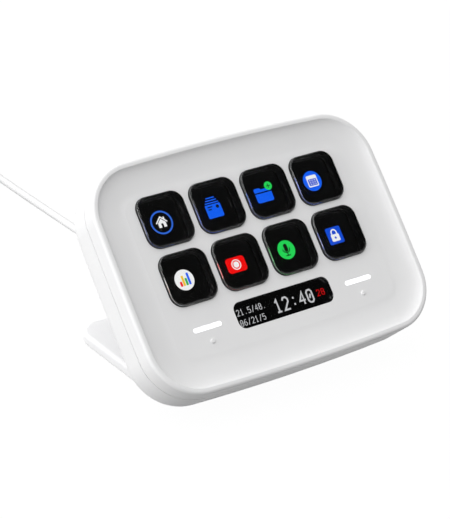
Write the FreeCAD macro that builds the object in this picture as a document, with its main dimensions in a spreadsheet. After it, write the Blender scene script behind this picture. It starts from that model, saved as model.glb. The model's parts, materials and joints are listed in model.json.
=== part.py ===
import FreeCAD, Part
import math
import os
import Sketcher

# A desk keypad with eight picture keys, an info bar, two light bars, a slide-off stand and a fixed cord.
# Millimetres. The row frame stands on the desk: X right, Y back, Z up, origin under the foot pad's middle.
# The housing leans back, so its pieces are drawn in a frame of its own: u to the right, v up the face,
# w out of the face, with w = 0 on the rear shell's back and v = 0 at half height.

V = FreeCAD.Vector
Constraint = Sketcher.Constraint

SIZES = {
    # the housing's outline and how it leans
    "side_room": 4.95,
    "end_room": 4.85,
    "corner_round": 17.0,
    "long_side_bow": 0.8,
    "short_side_bow": 0.2,
    "face_tilt": 49.3,
    # front shell
    "floor_depth": 2.3,
    "lip_width": 1.9,
    "lip_outer_round": 1.1,
    "lip_inner_round": 0.3,
    "dish_run": 10.0,
    "plate_thickness": 1.2,
    "side_wall": 2.0,
    "seam_under_plate": 3.1,
    "seam_bevel": 0.15,
    "seam_gap": 0.16,
    "dot_radius": 0.8,
    "dot_height": 0.45,
    "dot_round": 0.4,
    "dot_drop": 4.65,
    # rear shell
    "back_wall": 2.0,
    "back_round": 6.6,
    "inner_round": 4.6,
    "tongue_height": 1.4,
    "tongue_thickness": 0.85,
    "tongue_gap": 0.1,
    # keys
    "key_pitch": 19.7,
    "key_rise": 8.15,
    "cap_side": 17.25,
    "cap_round": 4.2,
    "cap_edge_round": 0.7,
    "cap_thickness": 3.15,
    "cap_stand_out": 1.2,
    "cap_flange": 0.7,
    "cap_gap": 0.15,
    "key_travel": 1.0,
    "seat_gap": 0.05,
    "press_gap": 0.1,
    "view_side": 15.2,
    "view_round": 3.0,
    # key display stack
    "membrane_thickness": 0.3,
    "contact_thickness": 0.4,
    "sheet_inset": 0.4,
    "panel_margin": 0.6,
    "panel_thickness": 0.8,
    "backlight_thickness": 1.4,
    "chassis_clear": 2.8,
    "chassis_floor": 1.0,
    "chassis_wall": 1.2,
    "chassis_fit": 0.1,
    "ear_thickness": 1.5,
    "ear_width": 6.0,
    "ear_reach": 6.0,
    "ear_screw_reach": 3.3,
    "ear_spread": 10.0,
    # info bar
    "info_width": 37.2,
    "info_height": 8.9,
    "info_round": 2.6,
    "info_apart": 1.1,
    "info_flange": 1.0,
    "info_lens_recess": 0.1,
    "info_lens_gap": 0.05,
    "info_flange_thickness": 0.75,
    "info_panel_margin": 0.55,
    "info_panel_thickness": 1.6,
    "info_panel_gap": 0.1,
    # light bars and touch points
    "bar_length": 10.5,
    "bar_width": 1.55,
    "bar_below_info": 0.25,
    "bar_recess": 0.2,
    "bar_gap": 0.05,
    "bar_flange": 0.7,
    "bar_flange_thickness": 0.6,
    "guide_length": 8.0,
    "guide_gap": 0.3,
    "electrode_room": 0.3,
    "electrode_thickness": 0.15,
    "contact_pin_radius": 0.9,
    "contact_base_radius": 1.5,
    "contact_base_height": 3.5,
    # main board and what is on it
    "lead_room": 0.95,
    "board_thickness": 1.2,
    "board_edge_room": 4.9,
    "board_past_entry": 1.0,
    "board_round": 3.0,
    "board_screw_room": 2.15,
    "board_screw_inset": 4.0,
    "processor_side": 10.0,
    "processor_height": 1.0,
    "memory_side": 6.0,
    "memory_offset": 17.0,
    "regulator_side": 4.0,
    "regulator_height": 1.4,
    "led_side": 1.6,
    "led_height": 0.8,
    "led_spacing": 5.0,
    "connector_depth": 3.6,
    "connector_height": 1.5,
    "connector_inset": 2.4,
    "key_flex_width": 21.0,
    "info_flex_width": 12.0,
    "flex_thickness": 0.2,
    "flex_reach": 4.2,
    "flex_slot_gap": 0.25,
    "connector_margin": 1.2,
    # cord entry
    "entry_rise": 15.0,
    "entry_radius": 3.3,
    "entry_gap": 0.1,
    "relief_flange_radius": 4.8,
    "relief_flange_thickness": 1.4,
    "relief_collar_radius": 4.2,
    "relief_collar_thickness": 1.6,
    "relief_root_radius": 2.9,
    "relief_tip_radius": 2.1,
    "relief_length": 17.0,
    "relief_groove_depth": 0.45,
    "relief_groove_width": 0.9,
    "lead_radius": 0.9,
    "lead_bend": 1.7,
    "header_width": 7.0,
    "header_depth": 5.0,
    "header_height": 2.7,
    "header_drop": 9.0,
    # ballast
    "ballast_side_room": 1.7,
    "ballast_top_room": 1.5,
    "ballast_low_room": 2.7,
    "ballast_thickness": 2.2,
    "ballast_round": 4.0,
    "ballast_hole_gap": 0.3,
    # screws and bosses
    "case_screw_side_inset": 9.0,
    "case_screw_end_inset": 10.4,
    "case_boss_radius": 3.6,
    "front_boss_radius": 3.0,
    "case_boss_top": 10.0,
    "boss_gap": 0.05,
    "case_head_radius": 2.2,
    "case_head_height": 1.4,
    "case_head_depth": 4.0,
    "case_head_gap": 0.3,
    "case_screw_radius": 1.2,
    "case_screw_reach": 1.9,
    "hole_gap": 0.25,
    "pilot_gap": 0.04,
    "pilot_spare": 0.3,
    "socket_share": 0.5,
    "socket_depth": 0.7,
    "small_boss_radius": 2.3,
    "small_head_radius": 1.8,
    "small_head_height": 1.0,
    "small_screw_radius": 0.8,
    "small_screw_reach": 3.4,
    "chassis_screw_reach": 2.0,
    # stand
    "leaf_gap": 0.1,
    "sheet_thickness": 4.4,
    "stand_half_width": 41.0,
    "foot_front": 16.5,
    "leaf_room": 4.7,
    "face_lift": 1.0,
    "bend_round": 6.6,
    "stand_corner": 8.5,
    "stand_edge_round": 1.4,
    "stud_room": 3.0,
    "stud_drop": 8.0,
    "stud_neck_radius": 2.0,
    "stud_head_radius": 4.0,
    "stud_head_thickness": 1.2,
    "stud_neck_length": 1.8,
    "stud_thread_radius": 1.4,
    "stud_thread_length": 4.8,
    "stud_boss_radius": 3.2,
    "stud_boss_height": 3.8,
    "slot_gap": 0.15,
    "head_gap": 0.25,
    "magnet_radius": 4.0,
    "magnet_thickness": 1.8,
    "magnet_across": 9.0,
    "magnet_drop": 20.0,
    "magnet_gap": 0.05,
    "pad_length": 44.0,
    "pad_side_margin": 5.0,
    "pad_margin": 4.5,
    "pad_thickness": 1.1,
    "pad_reveal": 0.5,
    "pad_round": 7.0,
    "pad_gap": 0.05,
    # cord, coil, tie and plug
    "cord_diameter": 2.9,
    "coil_lift": 0.6,
    "coil_gap": 0.45,
    "coil_outer": 20.7,
    "coil_middle_y": 192.0,
    "coil_near_x": 2.2,
    "tie_width": 6.0,
    "tie_thickness": 0.5,
    "tie_slack": 0.6,
    "tie_round": 2.0,
    "plug_width": 12.0,
    "plug_height": 6.8,
    "plug_length": 20.0,
    "plug_round": 3.0,
    "plug_edge_round": 0.8,
    "plug_relief_radius": 2.3,
    "plug_relief_length": 7.0,
    "shell_width": 8.3,
    "shell_height": 2.5,
    "shell_length": 6.6,
    "shell_round": 1.15,
    "shell_wall": 0.3,
    "shell_mouth_depth": 5.6,
}
KEY_COLUMNS = 4
LAYER_QUARTERS = 11
COIL_LAYERS = 4
# The dish falls steeply at its lip and flattens out: how far in, and how far down, at each step.
DISH_RUN_SHARES = (0.0, 0.08, 0.24, 0.5, 1.0)
DISH_FALL_SHARES = (0.0, 0.36, 0.68, 0.90, 1.0)
# A bend in a cord takes this much of the shorter run beside it.
BEND_SHARE = 0.45
COIL_FREE_GAP = 0.4

# The cord's free stretch after the strain relief, and its tail between coil and plug, chosen by hand.
STRETCH_POINTS = [
    (0.0, 24.15, 19.82), (0.8, 42.0, 6.5), (2.2, 65.5, 1.9), (3.1, 89.0, 1.5),
    (2.8, 113.0, 1.5), (2.4, 143.0, 1.6), (2.2, 172.0, 2.05), (2.2, 189.1, 2.05),
]
TAIL_POINTS = [(-39.2, 189.1, 12.1), (-39.2, 179.0, 12.1), (-38.4, 163.5, 3.4), (-38.4, 152.5, 3.4)]

doc = FreeCAD.newDocument("desk_keypad")
sheet = doc.addObject("Spreadsheet::Sheet", "sizes")
for row, (alias, figure) in enumerate(SIZES.items(), start=1):
    sheet.set(f"A{row}", alias.replace("_", " "))
    sheet.set(f"B{row}", str(figure))
    sheet.setAlias(f"B{row}", alias)
doc.recompute()


class Size:
    """A number with the sheet expression it comes from, so that sums of sizes stay bound to the sheet."""

    def __init__(self, value, text):
        self.value = value
        self.text = text

    def __add__(self, other):
        other = as_size(other)
        return Size(self.value + other.value, f"({self.text} + {other.text})")

    def __sub__(self, other):
        other = as_size(other)
        return Size(self.value - other.value, f"({self.text} - {other.text})")

    def __mul__(self, other):
        other = as_size(other)
        return Size(self.value * other.value, f"({self.text} * {other.text})")

    def __truediv__(self, other):
        other = as_size(other)
        return Size(self.value / other.value, f"({self.text} / {other.text})")

    def __neg__(self):
        return Size(-self.value, f"(0 - {self.text})")


def as_size(number):
    return number if isinstance(number, Size) else Size(number, repr(number))


def cosine(angle):
    return Size(math.cos(math.radians(angle.value)), f"cos({angle.text} * 1 deg)")


def sine(angle):
    return Size(math.sin(math.radians(angle.value)), f"sin({angle.text} * 1 deg)")


def bow_radius(half_chord, bow):
    return (half_chord * half_chord + bow * bow) / (bow * 2)


class Sizes:
    """The sheet's cells by name."""


size = Sizes()
for alias in SIZES:
    setattr(size, alias, Size(float(sheet.get(alias)), f"sizes.{alias}"))

ZERO = as_size(0)

# The key grid sets the display stack, and the stack with its ears and its flex sets the housing
PANEL_HALF_WIDTH = size.key_pitch * KEY_COLUMNS / 2 + size.panel_margin
PANEL_HALF_HEIGHT = size.key_pitch + size.panel_margin
CHASSIS_HALF_WIDTH = PANEL_HALF_WIDTH + size.chassis_fit + size.chassis_wall
CHASSIS_HALF_HEIGHT = PANEL_HALF_HEIGHT + size.chassis_fit + size.chassis_wall
SHEET_HALF_WIDTH = CHASSIS_HALF_WIDTH - size.sheet_inset
SHEET_HALF_HEIGHT = CHASSIS_HALF_HEIGHT - size.sheet_inset
PANEL_HIGH = size.key_rise + PANEL_HALF_HEIGHT
PANEL_FOOT = size.key_rise - PANEL_HALF_HEIGHT
HALF_WIDTH = CHASSIS_HALF_WIDTH + size.ear_reach + size.side_room + size.side_wall
HALF_HEIGHT = PANEL_HIGH + size.flex_reach + size.end_room + size.side_wall
LONG_BOW_RADIUS = bow_radius(HALF_WIDTH - size.corner_round, size.long_side_bow)
SHORT_BOW_RADIUS = bow_radius(HALF_HEIGHT - size.corner_round, size.short_side_bow)

# Levels along w: the cord's lead passes under the board, and the display stack builds up from the board
LEAD_LEVEL = size.back_wall + size.relief_flange_thickness + size.lead_bend + size.seat_gap
BOARD_LOW = LEAD_LEVEL + size.lead_radius + size.lead_room
BOARD_TOP = BOARD_LOW + size.board_thickness
CHASSIS_LOW = BOARD_TOP + size.chassis_clear
BACKLIGHT_LOW = CHASSIS_LOW + size.chassis_floor
PANEL_LOW = BACKLIGHT_LOW + size.backlight_thickness
PANEL_TOP = PANEL_LOW + size.panel_thickness
CONTACT_LOW = PANEL_TOP + size.seat_gap
MEMBRANE_LOW = CONTACT_LOW + size.contact_thickness
MEMBRANE_TOP = MEMBRANE_LOW + size.membrane_thickness
CAP_LOW = MEMBRANE_TOP + size.press_gap + size.key_travel
CAP_TOP = CAP_LOW + size.cap_thickness
FLOOR = CAP_TOP - size.cap_stand_out
HOUSING_DEPTH = FLOOR + size.floor_depth
PLATE_UNDER = FLOOR - size.plate_thickness
SEAT = PLATE_UNDER - size.seat_gap
SEAM = PLATE_UNDER - size.seam_under_plate
REAR_RIM = SEAM - size.seam_gap
INFO_PANEL_TOP = SEAT - size.info_flange_thickness - size.info_panel_gap
INFO_PANEL_LOW = INFO_PANEL_TOP - size.info_panel_thickness
TRAY_LOW = INFO_PANEL_LOW - size.chassis_floor
FRONT_BOSS_LOW = size.case_boss_top + size.boss_gap

# Places in the face
FIRST_COLUMN = -size.key_pitch * (KEY_COLUMNS - 1) / 2
OUTER_COLUMN = -FIRST_COLUMN
INFO_PANEL_HALF_WIDTH = size.info_width / 2 + size.info_panel_margin
INFO_PANEL_HALF_HEIGHT = size.info_height / 2 + size.info_panel_margin
INFO_MIDDLE = PANEL_FOOT - size.info_apart - INFO_PANEL_HALF_HEIGHT
BAR_MIDDLE = INFO_MIDDLE - size.bar_below_info
BAR_FLANGE_HALF = size.bar_width / 2 + size.bar_flange
TOUCH_MIDDLE = BAR_MIDDLE - size.dot_drop
ELECTRODE_RADIUS = size.dot_drop - BAR_FLANGE_HALF - size.electrode_room
EAR_SCREW_ACROSS = CHASSIS_HALF_WIDTH + size.ear_screw_reach
CASE_SCREW_ACROSS = HALF_WIDTH - size.case_screw_side_inset
CASE_SCREW_ALONG = HALF_HEIGHT - size.case_screw_end_inset

# The board reaches from below the touch points to past the cord entry, and its screws stand outside them
BOARD_FOOT = TOUCH_MIDDLE - size.contact_base_radius - size.board_edge_room
BOARD_HEAD = size.entry_rise + size.board_past_entry
BOARD_MIDDLE = (BOARD_HEAD + BOARD_FOOT) / 2
BOARD_HALF_HEIGHT = (BOARD_HEAD - BOARD_FOOT) / 2
BOARD_SCREW_ACROSS = OUTER_COLUMN + size.contact_base_radius + size.small_head_radius + size.board_screw_room
BOARD_HALF_WIDTH = BOARD_SCREW_ACROSS + size.board_screw_inset
BOARD_SCREW_HIGH = BOARD_HEAD - size.board_screw_inset
BOARD_SCREW_LOW = BOARD_FOOT + size.board_screw_inset

# The ballast lies between the board's bosses, the cord's header and the shell's rounded foot
HEADER_MIDDLE = size.entry_rise - size.header_drop
BALLAST_HALF_WIDTH = BOARD_SCREW_ACROSS - size.small_boss_radius - size.ballast_side_room
BALLAST_HEAD = HEADER_MIDDLE - size.header_depth / 2 - size.ballast_top_room
BALLAST_FOOT = size.side_wall + size.inner_round + size.ballast_low_room - HALF_HEIGHT
BALLAST_MIDDLE = (BALLAST_HEAD + BALLAST_FOOT) / 2
BALLAST_HALF_HEIGHT = (BALLAST_HEAD - BALLAST_FOOT) / 2

# The stand's bend and the housing's origin in the row frame
FOOT_REAR = size.pad_length / 2 + size.pad_margin
APEX_Y = -size.pad_length / 2 - size.foot_front
APEX_Z = size.pad_reveal
PAD_HALF_WIDTH = size.stand_half_width - size.pad_side_margin
FACE_UP_LEAF = HALF_HEIGHT + size.face_lift
LEAF_TOP = size.entry_rise - size.relief_collar_radius - size.leaf_room
LEAF_LENGTH = FACE_UP_LEAF + LEAF_TOP
STUD_ACROSS = size.magnet_across + size.magnet_radius + size.stud_head_radius + size.stud_room
LEAN_COS = cosine(size.face_tilt)
LEAN_SIN = sine(size.face_tilt)
HOUSING_Y = APEX_Y + LEAN_COS * FACE_UP_LEAF - LEAN_SIN * size.leaf_gap
HOUSING_Z = APEX_Z + LEAN_SIN * FACE_UP_LEAF + LEAN_COS * size.leaf_gap

CORD_RADIUS = size.cord_diameter / 2
COIL_STEP = size.cord_diameter + size.coil_gap
COIL_X = size.coil_near_x - size.coil_outer

NODES = []


def bind(thing, setting, length):
    thing.setExpression(setting, as_size(length).text)


def in_row(u, v, w):
    """The row-frame place of a point of the housing frame."""
    return (as_size(u), HOUSING_Y + LEAN_COS * v - LEAN_SIN * w, HOUSING_Z + LEAN_SIN * v + LEAN_COS * w)


def lean(thing, setting, place):
    """Gives a placement the housing's lean, with its origin at a row-frame place."""
    for axis, length in zip("xyz", place):
        bind(thing, f"{setting}.Base.{axis}", length)
    thing.setExpression(f"{setting}.Rotation.Angle", f"{size.face_tilt.text} * 1 deg")


LEANING = FreeCAD.Placement(V(0, 0, 0), FreeCAD.Rotation(V(1, 0, 0), size.face_tilt.value))


def keep(piece, label):
    piece.Label = label
    NODES.append(piece)
    return piece


def housing_body(label):
    body = keep(doc.addObject("PartDesign::Body", label), label)
    body.Placement = LEANING
    lean(body, "Placement", in_row(0, ZERO, ZERO))
    return body


def row_body(label):
    return keep(doc.addObject("PartDesign::Body", label), label)


def new_sketch(body, plane="XY_Plane", across=ZERO, up=ZERO, out=ZERO):
    """A sketch on one of the body's own planes, moved across, up and out of it."""
    sketch = body.newObject("Sketcher::SketchObject", "sketch")
    face = [feature for feature in body.Origin.OriginFeatures if feature.Role == plane][0]
    sketch.AttachmentSupport = [(face, "")]
    sketch.MapMode = "FlatFace"
    for axis, length in zip("xyz", (across, up, out)):
        bind(sketch, f"AttachmentOffset.Base.{axis}", length)
    return sketch


def leaf_sketch(body, u, v, w):
    """A sketch in the row frame's body that lies parallel to the stand's leaf."""
    sketch = new_sketch(body)
    sketch.AttachmentOffset = LEANING
    lean(sketch, "AttachmentOffset", in_row(u, v, w))
    return sketch


def measure(sketch, kind, *places, length):
    index = sketch.addConstraint(Constraint(kind, *places, length.value))
    bind(sketch, f"Constraints[{index}]", length)


def locate(sketch, edge, end, kind, length):
    """Holds a point at a signed distance from the sketch's origin."""
    if abs(length.value) < 1e-9:
        axis = -2 if kind == "DistanceX" else -1
        sketch.addConstraint(Constraint("PointOnObject", edge, end, axis))
    elif length.value > 0:
        measure(sketch, kind, -1, 1, edge, end, length=length)
    else:
        measure(sketch, kind, edge, end, -1, 1, length=-length)


def arc(middle_x, middle_y, radius, start, end):
    return Part.ArcOfCircle(Part.Circle(V(middle_x, middle_y, 0), V(0, 0, 1), radius), start, end)


def draw_outline(sketch, inset):
    """The housing's outline: four bowed sides joined by corner arcs, all moved inwards by the inset."""
    long_radius, short_radius = LONG_BOW_RADIUS.value, SHORT_BOW_RADIUS.value
    across = HALF_WIDTH.value - size.corner_round.value
    along = HALF_HEIGHT.value - size.corner_round.value
    long_middle = LONG_BOW_RADIUS - HALF_HEIGHT
    short_middle = SHORT_BOW_RADIUS - HALF_WIDTH
    long_half = math.asin(across / long_radius)
    short_half = math.asin(along / short_radius)
    quarter = math.pi / 2
    corner = size.corner_round.value - inset.value
    long_side = long_radius - inset.value
    short_side = short_radius - inset.value
    sides = [
        arc(0, -long_middle.value, long_side, quarter - long_half, quarter + long_half),
        arc(-across, along, corner, quarter, 2 * quarter),
        arc(short_middle.value, 0, short_side, 2 * quarter - short_half, 2 * quarter + short_half),
        arc(-across, -along, corner, 2 * quarter, 3 * quarter),
        arc(0, long_middle.value, long_side, 3 * quarter - long_half, 3 * quarter + long_half),
        arc(across, -along, corner, 3 * quarter, 4 * quarter),
        arc(-short_middle.value, 0, short_side, -short_half, short_half),
        arc(across, along, corner, 0, quarter),
    ]
    edges = [sketch.addGeometry(side, False) for side in sides]
    top, left, bottom, right = edges[0::2]
    for edge, following in zip(edges, edges[1:] + edges[:1]):
        sketch.addConstraint(Constraint("Tangent", edge, 2, following, 1))
    for edge in (top, bottom):
        sketch.addConstraint(Constraint("PointOnObject", edge, 3, -2))
        measure(sketch, "Radius", edge, length=LONG_BOW_RADIUS - inset)
    for edge in (left, right):
        sketch.addConstraint(Constraint("PointOnObject", edge, 3, -1))
        measure(sketch, "Radius", edge, length=SHORT_BOW_RADIUS - inset)
    for edge in edges[1::2]:
        measure(sketch, "Radius", edge, length=size.corner_round - inset)
    locate(sketch, top, 3, "DistanceY", -long_middle)
    locate(sketch, bottom, 3, "DistanceY", long_middle)
    locate(sketch, left, 3, "DistanceX", short_middle)
    locate(sketch, right, 3, "DistanceX", -short_middle)
    return sketch


def draw_rounded(sketch, half_width, half_height, radius, across=ZERO, up=ZERO):
    """A rectangle with round corners, its middle moved across and up from the sketch's origin."""
    left, right = across - half_width, across + half_width
    low, high = up - half_height, up + half_height
    near_left, near_right = left.value + radius.value, right.value - radius.value
    near_low, near_high = low.value + radius.value, high.value - radius.value
    quarter = math.pi / 2
    shapes = [
        Part.LineSegment(V(near_right, high.value, 0), V(near_left, high.value, 0)),
        arc(near_left, near_high, radius.value, quarter, 2 * quarter),
        Part.LineSegment(V(left.value, near_high, 0), V(left.value, near_low, 0)),
        arc(near_left, near_low, radius.value, 2 * quarter, 3 * quarter),
        Part.LineSegment(V(near_left, low.value, 0), V(near_right, low.value, 0)),
        arc(near_right, near_low, radius.value, 3 * quarter, 4 * quarter),
        Part.LineSegment(V(right.value, near_low, 0), V(right.value, near_high, 0)),
        arc(near_right, near_high, radius.value, 0, quarter),
    ]
    edges = [sketch.addGeometry(shape, False) for shape in shapes]
    for edge, following in zip(edges, edges[1:] + edges[:1]):
        sketch.addConstraint(Constraint("Tangent", edge, 2, following, 1))
    for edge in (edges[0], edges[4]):
        sketch.addConstraint(Constraint("Horizontal", edge))
    for edge in (edges[2], edges[6]):
        sketch.addConstraint(Constraint("Vertical", edge))
    for edge in edges[1::2]:
        measure(sketch, "Radius", edge, length=radius)
    locate(sketch, edges[0], 1, "DistanceY", high)
    locate(sketch, edges[4], 1, "DistanceY", low)
    locate(sketch, edges[2], 1, "DistanceX", left)
    locate(sketch, edges[6], 1, "DistanceX", right)
    return sketch


def draw_circles(sketch, radius, places):
    for across, up in places:
        across, up = as_size(across), as_size(up)
        circle = Part.Circle(V(across.value, up.value, 0), V(0, 0, 1), radius.value)
        edge = sketch.addGeometry(circle, False)
        measure(sketch, "Radius", edge, length=radius)
        locate(sketch, edge, 3, "DistanceX", across)
        locate(sketch, edge, 3, "DistanceY", up)
    return sketch


def draw_polygon(sketch, corners):
    points = [V(across.value, up.value, 0) for across, up in corners]
    edges = [sketch.addGeometry(Part.LineSegment(first, second), False)
             for first, second in zip(points, points[1:] + points[:1])]
    for edge, following in zip(edges, edges[1:] + edges[:1]):
        sketch.addConstraint(Constraint("Coincident", edge, 2, following, 1))
    for edge, (across, up) in zip(edges, corners):
        locate(sketch, edge, 1, "DistanceX", across)
        locate(sketch, edge, 1, "DistanceY", up)
    return sketch


def pad(body, sketch, length, both_ways=False):
    feature = body.newObject("PartDesign::Pad", "pad")
    feature.Profile = sketch
    feature.Midplane = both_ways
    bind(feature, "Length", length)
    return feature


def pocket(body, sketch, length, upwards=False, both_ways=False):
    """Cuts from the sketch down into the body, or up out of it."""
    feature = body.newObject("PartDesign::Pocket", "pocket")
    feature.Profile = sketch
    feature.Reversed = upwards
    feature.Midplane = both_ways
    bind(feature, "Length", length)
    return feature


def repeat_columns(body, feature, sketch, label="columns"):
    """Repeats the first column's feature for every key column."""
    pattern = body.newObject("PartDesign::LinearPattern", label)
    pattern.Originals = [feature]
    pattern.Direction = (sketch, ["H_Axis"])
    bind(pattern, "Length", size.key_pitch * (KEY_COLUMNS - 1))
    pattern.Occurrences = KEY_COLUMNS
    body.Tip = pattern
    return pattern


def edges_where(feature, test):
    doc.recompute()
    return [f"Edge{index}" for index, edge in enumerate(feature.Shape.Edges, start=1) if test(edge)]


def lies_at(edge, axis, level, slack=1e-4):
    box = edge.BoundBox
    low, high = getattr(box, f"{axis}Min"), getattr(box, f"{axis}Max")
    return abs(low - level.value) < slack and abs(high - level.value) < slack


def fillet(body, edges, radius, kind="Fillet"):
    base = body.Tip
    feature = body.newObject(f"PartDesign::{kind}", kind.lower())
    feature.Base = (base, edges)
    bind(feature, "Size" if kind == "Chamfer" else "Radius", radius)
    body.Tip = feature
    return feature


def four_corners(across, along):
    return [(across, along), (-across, along), (-across, -along), (across, -along)]


CASE_SCREWS = four_corners(CASE_SCREW_ACROSS, CASE_SCREW_ALONG)
BOARD_SCREWS = [(across, up) for across in (-BOARD_SCREW_ACROSS, BOARD_SCREW_ACROSS)
                for up in (BOARD_SCREW_LOW, BOARD_SCREW_HIGH)]
EAR_SCREWS = [(across, size.key_rise + up) for across in (-EAR_SCREW_ACROSS, EAR_SCREW_ACROSS)
              for up in (-size.ear_spread, size.ear_spread)]
STUDS = [(-STUD_ACROSS, -size.stud_drop), (STUD_ACROSS, -size.stud_drop)]
TOUCH_POINTS = [(-OUTER_COLUMN, TOUCH_MIDDLE), (OUTER_COLUMN, TOUCH_MIDDLE)]


def key_windows(body, half_side, radius, top, depth):
    """One column of two square windows, repeated across the key grid."""
    sketch = new_sketch(body, across=FIRST_COLUMN, up=size.key_rise, out=top)
    for up in (size.key_pitch / 2, -size.key_pitch / 2):
        draw_rounded(sketch, half_side, half_side, radius, up=up)
    return repeat_columns(body, pocket(body, sketch, depth), sketch)


# The front shell: a dished plate with a raised lip, its side wall, key openings and screw bosses
def make_front_shell():
    body = housing_body("front_shell")
    wall = draw_outline(new_sketch(body, out=SEAM), ZERO)
    pad(body, wall, HOUSING_DEPTH - SEAM)
    steps = []
    for run_share, fall_share in zip(DISH_RUN_SHARES, DISH_FALL_SHARES):
        step = new_sketch(body, out=HOUSING_DEPTH - size.floor_depth * fall_share)
        steps.append(draw_outline(step, size.lip_width + size.dish_run * run_share))
    dish = body.newObject("PartDesign::SubtractiveLoft", "dish")
    dish.Profile = steps[0]
    dish.Sections = steps[1:]
    rim = edges_where(dish, lambda edge: lies_at(edge, "Z", HOUSING_DEPTH) and on_outline(edge))
    fillet(body, rim, size.lip_outer_round)
    lip = edges_where(body.Tip, lambda edge: lies_at(edge, "Z", HOUSING_DEPTH)
                      and not on_outline(edge, size.lip_outer_round))
    fillet(body, lip, size.lip_inner_round)
    inside = draw_outline(new_sketch(body, out=PLATE_UNDER), size.side_wall)
    pocket(body, inside, PLATE_UNDER - SEAM)
    rabbet_depth = size.side_wall - size.tongue_thickness - size.tongue_gap
    rabbet_top = SEAM + size.tongue_height + size.tongue_gap
    rabbet = draw_outline(new_sketch(body, out=rabbet_top), rabbet_depth)
    pocket(body, rabbet, rabbet_top - SEAM)
    opening = size.cap_side / 2 + size.cap_gap
    key_windows(body, opening, size.cap_round + size.cap_gap, FLOOR, size.plate_thickness)
    window = new_sketch(body, up=INFO_MIDDLE, out=FLOOR)
    draw_rounded(window, size.info_width / 2, size.info_height / 2, size.info_round)
    pocket(body, window, size.plate_thickness)
    bars = new_sketch(body, up=BAR_MIDDLE, out=FLOOR)
    bar_half = size.bar_width / 2
    for across in (-OUTER_COLUMN, OUTER_COLUMN):
        draw_rounded(bars, size.bar_length / 2, bar_half, bar_half - size.seat_gap, across=across)
    pocket(body, bars, size.plate_thickness)
    pad(body, draw_circles(new_sketch(body, out=FLOOR), size.dot_radius, TOUCH_POINTS), size.dot_height)
    dot_top = FLOOR + size.dot_height
    fillet(body, edges_where(body.Tip, lambda edge: lies_at(edge, "Z", dot_top)), size.dot_round)
    bosses = draw_circles(new_sketch(body, out=FRONT_BOSS_LOW), size.front_boss_radius, CASE_SCREWS)
    pad(body, bosses, PLATE_UNDER - FRONT_BOSS_LOW)
    pilot = size.case_screw_radius + size.pilot_gap
    pilots = draw_circles(new_sketch(body, out=FRONT_BOSS_LOW), pilot, CASE_SCREWS)
    screw_top = FLOOR - size.case_screw_reach
    pocket(body, pilots, screw_top + size.pilot_spare - FRONT_BOSS_LOW, upwards=True)
    posts = draw_circles(new_sketch(body, out=CONTACT_LOW), size.small_boss_radius, EAR_SCREWS)
    pad(body, posts, PLATE_UNDER - CONTACT_LOW)
    small_pilot = size.small_screw_radius + size.pilot_gap
    post_holes = draw_circles(new_sketch(body, out=CONTACT_LOW), small_pilot, EAR_SCREWS)
    pocket(body, post_holes, size.chassis_screw_reach + size.pilot_spare, upwards=True)
    seam = edges_where(body.Tip, lambda edge: lies_at(edge, "Z", SEAM) and on_outline(edge))
    fillet(body, seam, size.seam_bevel, kind="Chamfer")


def on_outline(edge, inset=ZERO):
    """True for an edge of the housing's outline, or of that outline moved inwards."""
    slack = (size.short_side_bow + size.seat_gap).value
    reach = max(abs(edge.BoundBox.XMin) - HALF_WIDTH.value, abs(edge.BoundBox.XMax) - HALF_WIDTH.value,
                abs(edge.BoundBox.YMin) - HALF_HEIGHT.value, abs(edge.BoundBox.YMax) - HALF_HEIGHT.value)
    return abs(reach + inset.value) < slack


# The rear shell: a tray with a tongue, bosses for the screws, the board and the stand's studs
def make_rear_shell():
    body = housing_body("rear_shell")
    pad(body, draw_outline(new_sketch(body), ZERO), REAR_RIM)
    fillet(body, edges_where(body.Tip, lambda edge: lies_at(edge, "Z", ZERO)), size.back_round)
    inside = draw_outline(new_sketch(body, out=REAR_RIM), size.side_wall)
    pocket(body, inside, REAR_RIM - size.back_wall)
    fillet(body, edges_where(body.Tip, lambda edge: lies_at(edge, "Z", size.back_wall)), size.inner_round)
    tongue = draw_outline(new_sketch(body, out=REAR_RIM), size.side_wall - size.tongue_thickness)
    draw_outline(tongue, size.side_wall)
    pad(body, tongue, size.seam_gap + size.tongue_height)
    for radius, places, top in ((size.case_boss_radius, CASE_SCREWS, size.case_boss_top),
                                (size.small_boss_radius, BOARD_SCREWS, BOARD_LOW),
                                (size.stud_boss_radius, STUDS, size.back_wall + size.stud_boss_height)):
        bosses = draw_circles(new_sketch(body, out=size.back_wall), radius, places)
        pad(body, bosses, top - size.back_wall)
    holes = draw_circles(new_sketch(body, out=size.case_boss_top), size.case_screw_radius + size.hole_gap,
                         CASE_SCREWS)
    pocket(body, holes, size.case_boss_top)
    counterbores = draw_circles(new_sketch(body), size.case_head_radius + size.case_head_gap, CASE_SCREWS)
    pocket(body, counterbores, size.case_head_depth, upwards=True)
    pilots = draw_circles(new_sketch(body, out=BOARD_LOW), size.small_screw_radius + size.pilot_gap,
                          BOARD_SCREWS)
    pocket(body, pilots, size.small_screw_reach - size.board_thickness + size.pilot_spare)
    stud_pilots = draw_circles(new_sketch(body), size.stud_thread_radius + size.pilot_gap, STUDS)
    pocket(body, stud_pilots, size.stud_thread_length + size.pilot_spare, upwards=True)
    entry = draw_circles(new_sketch(body, out=size.back_wall), size.entry_radius, [(ZERO, size.entry_rise)])
    pocket(body, entry, size.back_wall)


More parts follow.
